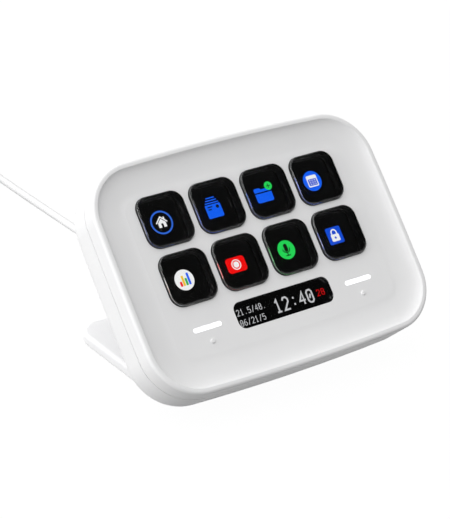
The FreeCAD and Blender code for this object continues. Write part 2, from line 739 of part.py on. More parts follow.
# A clear keycap: a thick block with a rounded top edge and a flange that stops under the plate
def make_keycap(label, across, up):
    body = housing_body(label)
    flange_half = size.cap_side / 2 + size.cap_flange
    flange = new_sketch(body, across=across, up=up, out=CAP_LOW)
    draw_rounded(flange, flange_half, flange_half, size.cap_round + size.cap_flange)
    pad(body, flange, SEAT - CAP_LOW)
    block = new_sketch(body, across=across, up=up, out=CAP_LOW)
    draw_rounded(block, size.cap_side / 2, size.cap_side / 2, size.cap_round)
    pad(body, block, size.cap_thickness)
    fillet(body, edges_where(body.Tip, lambda edge: lies_at(edge, "Z", CAP_TOP)), size.cap_edge_round)


def make_keycaps():
    half_pitch = size.key_pitch / 2
    for row_name, up in (("top", size.key_rise + half_pitch), ("bottom", size.key_rise - half_pitch)):
        for column in range(KEY_COLUMNS):
            make_keycap(f"keycap_{row_name}_{column + 1}", FIRST_COLUMN + size.key_pitch * column, up)


def make_plate(label, half_width, half_height, radius, up, low, thickness, across=ZERO):
    """A flat plate with round corners, parallel to the face."""
    body = housing_body(label)
    outline = new_sketch(body, across=across, up=up, out=low)
    pad(body, draw_rounded(outline, half_width, half_height, radius), thickness)
    return body


# The display stack under the keys: silicone membrane, contact sheet, panel, backlight and chassis
def make_display_stack():
    membrane = make_plate("key_membrane", SHEET_HALF_WIDTH, SHEET_HALF_HEIGHT, size.board_round,
                          size.key_rise, MEMBRANE_LOW, size.membrane_thickness)
    key_windows(membrane, size.view_side / 2, size.view_round, MEMBRANE_TOP, size.membrane_thickness)
    contacts = make_plate("contact_sheet", SHEET_HALF_WIDTH, SHEET_HALF_HEIGHT, size.board_round,
                          size.key_rise, CONTACT_LOW, size.contact_thickness)
    key_windows(contacts, size.view_side / 2, size.view_round, MEMBRANE_LOW, size.contact_thickness)
    make_plate("key_panel", PANEL_HALF_WIDTH, PANEL_HALF_HEIGHT, size.chassis_wall,
               size.key_rise, PANEL_LOW, size.panel_thickness)
    make_plate("key_backlight", PANEL_HALF_WIDTH, PANEL_HALF_HEIGHT, size.chassis_wall,
               size.key_rise, BACKLIGHT_LOW, size.backlight_thickness)
    make_chassis()


def make_chassis():
    body = make_plate("display_chassis", CHASSIS_HALF_WIDTH, CHASSIS_HALF_HEIGHT, size.chassis_wall * 2,
                      size.key_rise, CHASSIS_LOW, CONTACT_LOW - CHASSIS_LOW)
    ear_half = size.ear_width / 2
    for up in (size.key_rise - size.ear_spread, size.key_rise + size.ear_spread):
        ears = new_sketch(body, up=up, out=CONTACT_LOW - size.ear_thickness)
        draw_rounded(ears, CHASSIS_HALF_WIDTH + size.ear_reach, ear_half, ear_half - size.seat_gap)
        pad(body, ears, size.ear_thickness)
    tray_half_width = INFO_PANEL_HALF_WIDTH + size.chassis_fit + size.chassis_wall
    tray_half_height = INFO_PANEL_HALF_HEIGHT + size.chassis_fit + size.chassis_wall
    tray = new_sketch(body, up=INFO_MIDDLE, out=TRAY_LOW)
    draw_rounded(tray, tray_half_width, tray_half_height, size.chassis_wall * 2)
    pad(body, tray, INFO_PANEL_TOP - TRAY_LOW)
    nest = new_sketch(body, up=size.key_rise, out=CONTACT_LOW)
    draw_rounded(nest, PANEL_HALF_WIDTH + size.chassis_fit, PANEL_HALF_HEIGHT + size.chassis_fit,
                 size.chassis_wall)
    pocket(body, nest, CONTACT_LOW - BACKLIGHT_LOW)
    above = new_sketch(body, up=size.key_rise, out=INFO_PANEL_TOP)
    draw_rounded(above, CHASSIS_HALF_WIDTH, CHASSIS_HALF_HEIGHT, size.chassis_wall)
    pocket(body, above, INFO_PANEL_TOP - CONTACT_LOW)
    info_nest = new_sketch(body, up=INFO_MIDDLE, out=INFO_PANEL_TOP)
    draw_rounded(info_nest, INFO_PANEL_HALF_WIDTH + size.chassis_fit,
                 INFO_PANEL_HALF_HEIGHT + size.chassis_fit, size.chassis_wall)
    pocket(body, info_nest, size.info_panel_thickness)
    clearance = size.small_screw_radius + size.hole_gap
    pocket(body, draw_circles(new_sketch(body, out=CONTACT_LOW), clearance, EAR_SCREWS), size.ear_thickness)
    for width, up, level in ((size.key_flex_width, PANEL_HIGH, KEY_FLEX_LEVEL),
                             (size.info_flex_width, INFO_MIDDLE - INFO_PANEL_HALF_HEIGHT, INFO_FLEX_LEVEL)):
        slot = new_sketch(body, up=up, out=level + size.flex_thickness + size.flex_slot_gap)
        reach = size.chassis_wall + size.chassis_fit + size.flex_slot_gap
        draw_rounded(slot, width / 2 + size.flex_slot_gap, reach, size.flex_slot_gap)
        pocket(body, slot, size.flex_thickness + size.flex_slot_gap * 2)


KEY_FLEX_LEVEL = BACKLIGHT_LOW + size.backlight_thickness / 2
INFO_FLEX_LEVEL = INFO_PANEL_LOW + size.info_panel_thickness / 2
BOARD_FLEX_LEVEL = BOARD_TOP + size.connector_height / 2
KEY_CONNECTOR_MIDDLE = BOARD_HEAD - size.connector_inset
INFO_CONNECTOR_MIDDLE = BOARD_FOOT + size.connector_inset * 3


def make_flex(label, width, start, start_level, turn, end, direction):
    """A flat flex that leaves a panel's edge, turns down through half a circle and runs back to the board."""
    body = housing_body(label)
    outer = turn + size.flex_thickness * direction
    top = start_level + size.flex_thickness
    inner_low = BOARD_FLEX_LEVEL + size.flex_thickness
    corners = [(start, top), (outer, top), (outer, BOARD_FLEX_LEVEL), (end, BOARD_FLEX_LEVEL),
               (end, inner_low), (turn, inner_low), (turn, start_level), (start, start_level)]
    pad(body, draw_polygon(new_sketch(body, plane="YZ_Plane"), corners), width, both_ways=True)
    bend = (start_level - inner_low) / 2 - size.seat_gap
    for level, radius in ((turn, bend), (outer, bend + size.flex_thickness)):
        across = edges_where(body.Tip, lambda edge: lies_at(edge, "Y", level)
                             and edge.BoundBox.XLength > width.value / 2)
        fillet(body, across, radius)


def make_flexes():
    make_flex("key_flex", size.key_flex_width, PANEL_HIGH, KEY_FLEX_LEVEL, PANEL_HIGH + size.flex_reach,
              KEY_CONNECTOR_MIDDLE + size.connector_depth / 2, 1)
    info_edge = INFO_MIDDLE - INFO_PANEL_HALF_HEIGHT
    make_flex("info_flex", size.info_flex_width, info_edge, INFO_FLEX_LEVEL, info_edge - size.flex_reach,
              INFO_CONNECTOR_MIDDLE - size.connector_depth / 2, -1)


# The info bar: a clear lens in the plate's window and a small panel in the chassis's tray
def make_info_bar():
    lens_half_width = size.info_width / 2 - size.info_lens_gap
    lens_half_height = size.info_height / 2 - size.info_lens_gap
    lens = make_plate("info_lens", size.info_width / 2 + size.info_flange,
                      size.info_height / 2 + size.info_flange, size.info_round + size.info_flange,
                      INFO_MIDDLE, SEAT - size.info_flange_thickness, size.info_flange_thickness)
    window = new_sketch(lens, up=INFO_MIDDLE, out=SEAT)
    draw_rounded(window, lens_half_width, lens_half_height, size.info_round - size.info_lens_gap)
    pad(lens, window, FLOOR - size.info_lens_recess - SEAT)
    make_plate("info_panel", INFO_PANEL_HALF_WIDTH, INFO_PANEL_HALF_HEIGHT, size.chassis_wall,
               INFO_MIDDLE, INFO_PANEL_LOW, size.info_panel_thickness)


# A light bar: a diffuser in its slot, a flange behind the plate and a guide down to the board's lamps
def make_light_bar(label, across):
    flange_low = SEAT - size.bar_flange_thickness
    body = make_plate(label, size.bar_length / 2 + size.bar_flange, BAR_FLANGE_HALF,
                      BAR_FLANGE_HALF - size.seat_gap, BAR_MIDDLE, flange_low, size.bar_flange_thickness,
                      across=across)
    half_width = size.bar_width / 2 - size.bar_gap
    face = new_sketch(body, across=across, up=BAR_MIDDLE, out=SEAT)
    draw_rounded(face, size.bar_length / 2 - size.bar_gap, half_width, half_width - size.seat_gap)
    pad(body, face, FLOOR - size.bar_recess - SEAT)
    guide = new_sketch(body, across=across, up=BAR_MIDDLE, out=GUIDE_LOW)
    draw_rounded(guide, size.guide_length / 2, half_width, half_width - size.seat_gap)
    pad(body, guide, flange_low - GUIDE_LOW)


GUIDE_LOW = BOARD_TOP + size.led_height + size.guide_gap


def block(width, height, depth, u, v, w):
    """A plain block with its middle at u, v and its back at w, in the housing frame."""
    piece = doc.addObject("Part::Box", "block")
    for setting, length in zip(("Length", "Width", "Height"), (width, height, depth)):
        bind(piece, setting, length)
    for axis, length in zip("xyz", (as_size(u) - width / 2, as_size(v) - height / 2, w)):
        bind(piece, f"Placement.Base.{axis}", length)
    return piece


def rod(radius, length, u, v, w):
    """A round rod along w from the level w outwards."""
    piece = doc.addObject("Part::Cylinder", "rod")
    bind(piece, "Radius", radius)
    bind(piece, "Height", length)
    for axis, place in zip("xyz", (as_size(u), as_size(v), w)):
        bind(piece, f"Placement.Base.{axis}", place)
    return piece


def housing_group(label, pieces):
    """Separate solids that share one node of the housing."""
    group = keep(doc.addObject("Part::Compound", label), label)
    group.Links = pieces
    group.Placement = LEANING
    lean(group, "Placement", in_row(0, ZERO, ZERO))
    return group


def screw(head_radius, head_height, shank_radius, shank_length, u, v, seat, forwards):
    """A socket-head screw whose head sits at the seat level, with its shank forwards or backwards from it."""
    head_low = seat - head_height if forwards else seat
    shank_low = seat if forwards else seat - shank_length
    socket_low = head_low if forwards else head_low + head_height - size.socket_depth
    joined = doc.addObject("Part::MultiFuse", "screw")
    joined.Shapes = [rod(head_radius, head_height, u, v, head_low),
                     rod(shank_radius, shank_length, u, v, shank_low)]
    socket = doc.addObject("Part::Prism", "socket")
    socket.Polygon = 6
    bind(socket, "Circumradius", head_radius * size.socket_share)
    bind(socket, "Height", size.socket_depth)
    for axis, place in zip("xyz", (as_size(u), as_size(v), socket_low)):
        bind(socket, f"Placement.Base.{axis}", place)
    finished = doc.addObject("Part::Cut", "socket_screw")
    finished.Base = joined
    finished.Tool = socket
    return finished


def make_board():
    body = make_plate("main_board", BOARD_HALF_WIDTH, BOARD_HALF_HEIGHT, size.board_round,
                      BOARD_MIDDLE, BOARD_LOW, size.board_thickness)
    holes = draw_circles(new_sketch(body, out=BOARD_TOP), size.small_screw_radius + size.hole_gap,
                         BOARD_SCREWS)
    pocket(body, holes, size.board_thickness)
    housing_group("board_screws", [
        screw(size.small_head_radius, size.small_head_height, size.small_screw_radius, size.small_screw_reach,
              across, up, BOARD_TOP, forwards=False) for across, up in BOARD_SCREWS])
    housing_group("controller_chips", [
        block(side, side, height, across, BOARD_MIDDLE, BOARD_TOP) for side, height, across in (
            (size.processor_side, size.processor_height, ZERO),
            (size.memory_side, size.processor_height, -size.memory_offset),
            (size.regulator_side, size.regulator_height, size.memory_offset))])
    housing_group("board_leds", [
        block(size.led_side, size.led_side, size.led_height, side + size.led_spacing * step / 2, BAR_MIDDLE,
              BOARD_TOP) for side in (-OUTER_COLUMN, OUTER_COLUMN) for step in (-1, 1)])
    housing_group("flex_connectors", [
        block(size.key_flex_width + size.connector_margin, size.connector_depth, size.connector_height, ZERO,
              KEY_CONNECTOR_MIDDLE, BOARD_TOP),
        block(size.info_flex_width + size.connector_margin, size.connector_depth, size.connector_height, ZERO,
              INFO_CONNECTOR_MIDDLE, BOARD_TOP)])
    housing_group("cord_header", [
        block(size.header_width, size.header_depth, size.header_height, ZERO, HEADER_MIDDLE,
              BOARD_LOW - size.header_height)])


def make_touch_parts():
    electrode_low = SEAT - size.electrode_thickness
    housing_group("touch_electrodes", [
        rod(ELECTRODE_RADIUS, size.electrode_thickness, u, v, electrode_low) for u, v in TOUCH_POINTS])
    pins = []
    for u, v in TOUCH_POINTS:
        base = rod(size.contact_base_radius, size.contact_base_height, u, v, BOARD_TOP)
        pin = rod(size.contact_pin_radius, electrode_low - BOARD_TOP, u, v, BOARD_TOP)
        joined = doc.addObject("Part::MultiFuse", "contact")
        joined.Shapes = [base, pin]
        pins.append(joined)
    housing_group("touch_contacts", pins)


def make_ballast():
    body = make_plate("ballast_plate", BALLAST_HALF_WIDTH, BALLAST_HALF_HEIGHT, size.ballast_round,
                      BALLAST_MIDDLE, size.back_wall, size.ballast_thickness)
    top = size.back_wall + size.ballast_thickness
    holes = draw_circles(new_sketch(body, out=top), size.stud_boss_radius + size.ballast_hole_gap, STUDS)
    pocket(body, holes, size.ballast_thickness)


def make_housing_screws():
    case_length = FLOOR - size.case_screw_reach - size.case_head_depth
    housing_group("case_screws", [
        screw(size.case_head_radius, size.case_head_height, size.case_screw_radius, case_length,
              across, up, size.case_head_depth, forwards=True) for across, up in CASE_SCREWS])
    ear_seat = CONTACT_LOW - size.ear_thickness
    housing_group("chassis_screws", [
        screw(size.small_head_radius, size.small_head_height, size.small_screw_radius,
              size.ear_thickness + size.chassis_screw_reach, across, up, ear_seat, forwards=True)
        for across, up in EAR_SCREWS])


# The strain relief: a flange inside the shell, a neck in the wall, a collar and a grooved taper outside
def make_strain_relief():
    body = housing_body("strain_relief")
    flange_top = size.back_wall + size.relief_flange_thickness
    neck = size.entry_radius - size.entry_gap
    tip = -size.relief_length
    collar_low = -size.relief_collar_thickness
    corners = [(ZERO, flange_top), (size.relief_flange_radius, flange_top),
               (size.relief_flange_radius, size.back_wall), (neck, size.back_wall), (neck, ZERO),
               (size.relief_collar_radius, ZERO), (size.relief_collar_radius, collar_low),
               (size.relief_root_radius, collar_low)]
    groove = size.relief_groove_width
    level = collar_low - groove * 2
    while level.value > tip.value + 3 * groove.value:
        along = (level - collar_low) / (tip - collar_low)
        outer = size.relief_root_radius - (size.relief_root_radius - size.relief_tip_radius) * along
        inner = outer - size.relief_groove_depth
        corners += [(outer, level), (inner, level), (inner, level - groove), (outer, level - groove)]
        level = level - groove * 2
    corners += [(size.relief_tip_radius, tip), (ZERO, tip)]
    profile = draw_polygon(new_sketch(body, plane="XZ_Plane", out=-size.entry_rise), corners)
    turned = body.newObject("PartDesign::Revolution", "relief")
    turned.Profile = profile
    turned.ReferenceAxis = (profile, ["V_Axis"])
    turned.Angle = 360


# The stand: one bent sheet, its foot on the desk and its leaf flat behind the housing
def make_stand():
    body = row_body("stand")
    thickness = size.sheet_thickness
    top_y = APEX_Y + LEAN_COS * LEAF_LENGTH
    top_z = APEX_Z + LEAN_SIN * LEAF_LENGTH
    inner_y = APEX_Y + thickness * (LEAN_COS + 1) / LEAN_SIN
    corners = [(FOOT_REAR, APEX_Z), (APEX_Y, APEX_Z), (top_y, top_z),
               (top_y + LEAN_SIN * thickness, top_z - LEAN_COS * thickness),
               (inner_y, APEX_Z + thickness), (FOOT_REAR, APEX_Z + thickness)]
    side = size.stand_half_width
    profile = draw_polygon(new_sketch(body, plane="YZ_Plane"), corners)
    pad(body, profile, side * 2, both_ways=True)
    for level, radius in ((inner_y, size.bend_round - thickness), (APEX_Y, size.bend_round)):
        bend = edges_where(body.Tip, lambda edge: lies_at(edge, "Y", level) and edge.Length > side.value)
        fillet(body, bend, radius)
    ends = edges_where(body.Tip, lambda edge: edge.Length < (thickness + size.seat_gap).value
                       and len(edge.Vertexes) == 2
                       and (lies_at(edge, "X", side) or lies_at(edge, "X", -side)))
    fillet(body, ends, size.stand_corner)
    rims = edges_where(body.Tip, lambda edge: lies_at(edge, "X", side)
                       and edge.Length > size.stand_corner.value)
    fillet(body, rims, size.stand_edge_round)
    cut_stand_slots(body)
    recess = new_sketch(body, up=ZERO, out=APEX_Z)
    draw_rounded(recess, PAD_HALF_WIDTH + size.pad_gap, size.pad_length / 2 + size.pad_gap,
                 size.pad_round + size.pad_gap)
    pocket(body, recess, size.pad_thickness - size.pad_reveal, upwards=True)


def cut_stand_slots(body):
    """Two keyed slots, open at the leaf's top edge, that the rear shell's studs slide into."""
    leaf_front = -size.leaf_gap
    leaf_rear = leaf_front - size.sheet_thickness
    ledge = -size.stud_neck_length + size.leaf_gap
    for across in (-STUD_ACROSS, STUD_ACROSS):
        for half_width, top, depth in (
                (size.stud_neck_radius + size.slot_gap, leaf_front, size.sheet_thickness),
                (size.stud_head_radius + size.head_gap, ledge, ledge - leaf_rear)):
            bottom = -size.stud_drop - half_width
            rise = (LEAF_TOP + size.stud_head_radius * 2 - bottom) / 2
            slot = leaf_sketch(body, across, bottom + rise, top)
            pocket(body, draw_rounded(slot, half_width, rise, half_width - size.seat_gap), depth)
        magnet = leaf_sketch(body, ZERO, ZERO, leaf_front)
        side = size.magnet_across if across.value > 0 else -size.magnet_across
        draw_circles(magnet, size.magnet_radius + size.magnet_gap, [(side, -size.magnet_drop)])
        pocket(body, magnet, size.magnet_thickness + size.magnet_gap)


def make_stand_fittings():
    studs = []
    neck_low = -size.stud_neck_length
    for across in (-STUD_ACROSS, STUD_ACROSS):
        joined = doc.addObject("Part::MultiFuse", "stud")
        joined.Shapes = [
            rod(size.stud_thread_radius, size.stud_thread_length, across, -size.stud_drop, ZERO),
            rod(size.stud_neck_radius, size.stud_neck_length, across, -size.stud_drop, neck_low),
            rod(size.stud_head_radius, size.stud_head_thickness, across, -size.stud_drop,
                neck_low - size.stud_head_thickness)]
        studs.append(joined)
    housing_group("stand_studs", studs)
    magnet_low = -size.leaf_gap - size.magnet_gap - size.magnet_thickness
    housing_group("stand_magnets", [
        rod(size.magnet_radius, size.magnet_thickness, across, -size.magnet_drop, magnet_low)
        for across in (-size.magnet_across, size.magnet_across)])
    body = row_body("foot_pad")
    outline = draw_rounded(new_sketch(body), PAD_HALF_WIDTH, size.pad_length / 2, size.pad_round)
    pad(body, outline, size.pad_thickness - size.pad_gap)


# Cords
def point_between(start, heading, end):
    """The middle point of the arc that leaves the start along the heading and ends at the end."""
    chord = end - start
    along = V(chord).normalize()
    side = heading - along * heading.dot(along)
    turn = math.atan2(side.Length, heading.dot(along))
    if side.Length > 1e-9:
        side.normalize()
    return start + chord * 0.5 + side * (chord.Length / 2 * math.tan(turn / 2))


def arc_edge(start, heading, end):
    middle = point_between(start, heading, end)
    return Part.Arc(start, middle, end).toShape()


def tube(label, points, radius):
    """A tube along straight runs joined by arcs as large as the shorter run at each point allows."""
    points = [V(*point) for point in points]
    edges = []
    radii = []
    reached = points[0]
    for before, corner, after in zip(points, points[1:], points[2:]):
        incoming, outgoing = corner - before, after - corner
        cut = BEND_SHARE * min(incoming.Length, outgoing.Length)
        half_turn = incoming.getAngle(outgoing) / 2
        radii.append(cut / math.tan(half_turn))
        incoming.normalize()
        outgoing.normalize()
        bend_start, bend_end = corner - incoming * cut, corner + outgoing * cut
        edges.append(Part.LineSegment(reached, bend_start).toShape())
        edges.append(arc_edge(bend_start, incoming, bend_end))
        reached = bend_end
    edges.append(Part.LineSegment(reached, points[-1]).toShape())
    return swept(label, edges, points[1] - points[0], radius, radii)


def swept(label, edges, heading, radius, radii):
    spine = Part.Wire(edges)
    start = edges[0].Vertexes[0].Point
    section = Part.Wire(Part.makeCircle(radius, start, heading))
    solid = spine.makePipeShell([section], True, False)
    length = sum(edge.Length for edge in edges)
    expected = math.pi * radius * radius * length
    print(f"{label}: length {length:.1f}, volume over section times length {solid.Volume / expected:.4f}, "
          f"least bend radius {min(radii):.1f} of {[round(bend, 1) for bend in radii]}")
    piece = keep(doc.addObject("Part::Feature", label), label)
    piece.Shape = solid
    return length


def coil_knot(quarter):
    """The coil's place at a quarter turn: piled spirals in and out, climbing where they reverse."""
    step, outer = COIL_STEP.value, size.coil_outer.value
    per_turn = step / (2 * math.pi)
    inner = outer - step * LAYER_QUARTERS / 4
    leg = LAYER_QUARTERS + 2
    layer, into = divmod(quarter, leg)
    going_in = layer % 2 == 0
    if into <= LAYER_QUARTERS:
        travelled = step * into / 4
        radius = outer - travelled if going_in else inner + travelled
        slope = -per_turn if going_in else per_turn
        height, rise = layer * step, 0.0
    else:
        through = (into - LAYER_QUARTERS) * math.pi / 2
        side = -per_turn if going_in else per_turn
        radius = (inner if going_in else outer) + side * math.sin(through)
        slope = side * math.cos(through)
        height = layer * step + step * (1 - math.cos(through)) / 2
        rise = step * math.sin(through) / 2
    angle = quarter * math.pi / 2
    outward, around = V(math.cos(angle), math.sin(angle), 0), V(-math.sin(angle), math.cos(angle), 0)
    base = size.coil_lift.value + CORD_RADIUS.value
    place = V(COIL_X.value, size.coil_middle_y.value, base + height) + outward * radius
    heading = outward * slope + around * radius + V(0, 0, rise)
    return place, heading.normalize()


def biarc(start, start_heading, end, end_heading):
    """Two arcs that join two places along their headings."""
    reach = end - start
    both = start_heading + end_heading
    spread = 2 * (1 - start_heading.dot(end_heading))
    product = reach.dot(both)
    arm = (-product + math.sqrt(product * product + spread * reach.dot(reach))) / spread
    joint = (start + end + (start_heading - end_heading) * arm) * 0.5
    joint_heading = (end - end_heading * arm) - (start + start_heading * arm)
    return [arc_edge(start, start_heading, joint), arc_edge(joint, joint_heading.normalize(), end)]


def make_coil():
    quarters = COIL_LAYERS * LAYER_QUARTERS + (COIL_LAYERS - 1) * 2
    knots = [coil_knot(quarter) for quarter in range(quarters + 1)]
    knots[0] = (knots[0][0], V(0, 1, 0))
    knots[-1] = (knots[-1][0], V(0, -1, 0))
    stub = size.cord_diameter.value
    first, first_heading = knots[0]
    last, last_heading = knots[-1]
    edges = [Part.LineSegment(first - first_heading * stub, first).toShape()]
    for (start, start_heading), (end, end_heading) in zip(knots, knots[1:]):
        edges += biarc(start, start_heading, end, end_heading)
    edges.append(Part.LineSegment(last, last + last_heading * stub).toShape())
    radii = [edge.Curve.Radius for edge in edges[1:-1]]
    print_coil_gap(edges)
    return swept("cord_coil", edges, first_heading, CORD_RADIUS.value, radii)


def print_coil_gap(edges):
    """Measures on points the least gap between the coil's turns."""
    points = []
    travelled = 0.0
    for edge in edges:
        count = max(2, int(edge.Length / CORD_RADIUS.value))
        for index in range(count):
            reached = edge.Length * index / count
            points.append((travelled + reached, edge.valueAt(edge.getParameterByLength(reached))))
        travelled += edge.Length
    apart = math.pi * CORD_RADIUS.value * 4
    least = min(first.distanceToPoint(second) for index, (reach, first) in enumerate(points)
                for other, second in points[index + 1:] if other - reach > apart)
    gap = least - size.cord_diameter.value
    print(f"cord_coil: least gap to itself {gap:.2f}, wanted over {COIL_FREE_GAP}")


def make_cord():
    tip = in_row(ZERO, size.entry_rise, -size.relief_length)
    stretch = [tuple(length.value for length in tip)] + STRETCH_POINTS
    whole = tube("cord_stretch", stretch, CORD_RADIUS.value)
    whole += make_coil()
    whole += tube("cord_tail", TAIL_POINTS, CORD_RADIUS.value)
    print(f"whole cord {whole:.0f}")
    bend = size.lead_bend.value
    start = size.back_wall.value + size.relief_flange_thickness.value
    rise = size.entry_rise.value
    level = LEAD_LEVEL.value
    header_edge = (HEADER_MIDDLE + size.header_depth / 2).value
    corners = [V(0, rise, start), V(0, rise, level - bend), V(0, rise - bend, level),
               V(0, header_edge, level)]
    edges = [Part.LineSegment(corners[0], corners[1]).toShape(),
             arc_edge(corners[1], V(0, 0, 1), corners[2]),
             Part.LineSegment(corners[2], corners[3]).toShape()]
    swept("inner_lead", edges, V(0, 0, 1), size.lead_radius.value, [bend])
    lead = NODES[-1]
    lead.Placement = LEANING
    lean(lead, "Placement", in_row(0, ZERO, ZERO))


# The tie round the coil and the plug at the cord's end
def make_tie():
    body = row_body("cord_tie")
    inner = size.coil_outer - COIL_STEP * LAYER_QUARTERS / 4
    low = inner - CORD_RADIUS - size.tie_slack * 2
    high = size.coil_outer + CORD_RADIUS + size.tie_slack
    half_run = (high - low) / 2
    half_rise = (COIL_STEP * (COIL_LAYERS - 1) + size.cord_diameter + size.tie_slack) / 2
    middle_y = size.coil_middle_y + (high + low) / 2
    middle_z = size.tie_thickness + half_rise
    band = new_sketch(body, plane="YZ_Plane", across=middle_y, up=middle_z, out=COIL_X)
    draw_rounded(band, half_run + size.tie_thickness, half_rise + size.tie_thickness,
                 size.tie_round + size.tie_thickness)
    draw_rounded(band, half_run, half_rise, size.tie_round)
    pad(body, band, size.tie_width, both_ways=True)


def make_plug():
    cord_end = [as_size(figure) for figure in TAIL_POINTS[-1]]
    across, end_y, up = cord_end
    relief_end = end_y - size.plug_relief_length
    body = row_body("plug_body")
    block_profile = new_sketch(body, plane="XZ_Plane", across=across, up=up, out=-relief_end)
    draw_rounded(block_profile, size.plug_width / 2, size.plug_height / 2, size.plug_round)
    pad(body, block_profile, size.plug_length)
    ends = edges_where(body.Tip, lambda edge: lies_at(edge, "Y", relief_end)
                       or lies_at(edge, "Y", relief_end - size.plug_length))
    fillet(body, ends, size.plug_edge_round)
    relief = new_sketch(body, plane="XZ_Plane", across=across, up=up, out=-end_y)
    pad(body, draw_circles(relief, size.plug_relief_radius, [(ZERO, ZERO)]), size.plug_relief_length)
    face = relief_end - size.plug_length
    shell = row_body("plug_shell")
    outside = new_sketch(shell, plane="XZ_Plane", across=across, up=up, out=-face)
    draw_rounded(outside, size.shell_width / 2, size.shell_height / 2, size.shell_round)
    pad(shell, outside, size.shell_length)
    mouth = new_sketch(shell, plane="XZ_Plane", across=across, up=up, out=-face + size.shell_length)
    draw_rounded(mouth, size.shell_width / 2 - size.shell_wall, size.shell_height / 2 - size.shell_wall,
                 size.shell_round - size.shell_wall)
    pocket(shell, mouth, size.shell_mouth_depth)


make_front_shell()
make_rear_shell()
make_keycaps()
make_display_stack()
make_flexes()
make_info_bar()
make_light_bar("light_bar_left", -OUTER_COLUMN)
make_light_bar("light_bar_right", OUTER_COLUMN)
make_touch_parts()
make_board()
make_ballast()
make_housing_screws()
make_strain_relief()
make_stand()
make_stand_fittings()
make_cord()
make_tie()
make_plug()
doc.recompute()

faults = [item.Label for item in doc.Objects if set(item.State) & {"Invalid", "Error"}]
faults += [node.Label for node in NODES
           if node.Shape.isNull() or not node.Shape.isValid() or not node.Shape.Solids]
if faults:
    raise RuntimeError("failed pieces: " + ", ".join(faults))

os.makedirs("parts", exist_ok=True)
for node in NODES:
    node.Shape.exportStep(f"parts/{node.Label}.step")
    box = node.Shape.BoundBox
    print(f"{node.Label}: {len(node.Shape.Solids)} solid(s), {node.Shape.Volume:.0f} mm3, "
          f"X {box.XMin:.1f} to {box.XMax:.1f}, Y {box.YMin:.1f} to {box.YMax:.1f}, "
          f"Z {box.ZMin:.2f} to {box.ZMax:.2f}")
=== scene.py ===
import json
import math

import bmesh
import bpy
from mathutils import Matrix, Vector


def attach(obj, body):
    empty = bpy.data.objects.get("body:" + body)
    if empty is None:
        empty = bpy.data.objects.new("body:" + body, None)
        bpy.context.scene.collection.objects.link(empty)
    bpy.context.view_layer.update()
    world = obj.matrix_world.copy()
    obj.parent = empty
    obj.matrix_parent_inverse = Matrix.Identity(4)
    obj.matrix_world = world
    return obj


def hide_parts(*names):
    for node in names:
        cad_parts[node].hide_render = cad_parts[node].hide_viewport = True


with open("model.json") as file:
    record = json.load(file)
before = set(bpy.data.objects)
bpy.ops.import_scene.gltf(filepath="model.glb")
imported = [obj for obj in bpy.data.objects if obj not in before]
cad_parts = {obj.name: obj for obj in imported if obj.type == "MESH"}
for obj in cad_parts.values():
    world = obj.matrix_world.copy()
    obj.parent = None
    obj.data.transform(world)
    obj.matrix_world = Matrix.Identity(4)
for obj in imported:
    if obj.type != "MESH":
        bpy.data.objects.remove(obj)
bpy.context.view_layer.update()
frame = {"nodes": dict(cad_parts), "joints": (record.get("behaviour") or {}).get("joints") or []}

# A desk keypad with eight clear picture keys in a dished white housing, on a slide-off stand, with its cord.
# Everything is in metres in the row frame: X right, Y back, Z up, the desk at Z = 0.

MM = 0.001
NODES = frame["nodes"]
RECORD_JOINTS = {joint["name"]: joint for joint in frame["joints"]}

# The housing's own frame: u to the right, v up the face, w out of the face
FACE_RIGHT = Vector((1, 0, 0))
FACE_UP = Vector(RECORD_JOINTS["stand_release"]["axis"]).normalized()
FACE_OUT = FACE_RIGHT.cross(FACE_UP)


def face_span(node):
    """The lowest and highest u, v and w of a CAD node, in metres."""
    points = [vertex.co for vertex in NODES[node].data.vertices]
    spans = []
    for axis in (FACE_RIGHT, FACE_UP, FACE_OUT):
        reach = [axis.dot(point) for point in points]
        spans.append((min(reach), max(reach)))
    return spans


def face_middle(node):
    """The middle of a CAD node in u, v and w."""
    return [(low + high) / 2 for low, high in face_span(node)]


def face_matrix(u, v, w):
    """The row-frame place of a drawing whose X runs along u, Y along v and Z along w."""
    place = FACE_RIGHT * u + FACE_UP * v + FACE_OUT * w
    matrix = Matrix((FACE_RIGHT, FACE_UP, FACE_OUT)).transposed().to_4x4()
    matrix.translation = place
    return matrix


# The camera, at the photograph's angle and distance
CAMERA_PLACE = Vector((-0.3080, -0.4554, 0.2912))
CAMERA_FORWARD = Vector((0.5090, 0.7457, -0.4300))
CAMERA_LENS = 126.5
CAMERA_SENSOR = 36.0
CAMERA_NEAR = 10 * MM


def make_camera():
    data = bpy.data.cameras.new("camera")
    data.lens = CAMERA_LENS
    data.sensor_width = CAMERA_SENSOR
    data.clip_start = CAMERA_NEAR
    camera = bpy.data.objects.new("camera", data)
    bpy.context.scene.collection.objects.link(camera)
    camera.location = CAMERA_PLACE
    camera.rotation_euler = CAMERA_FORWARD.to_track_quat("-Z", "Y").to_euler()
    bpy.context.scene.camera = camera


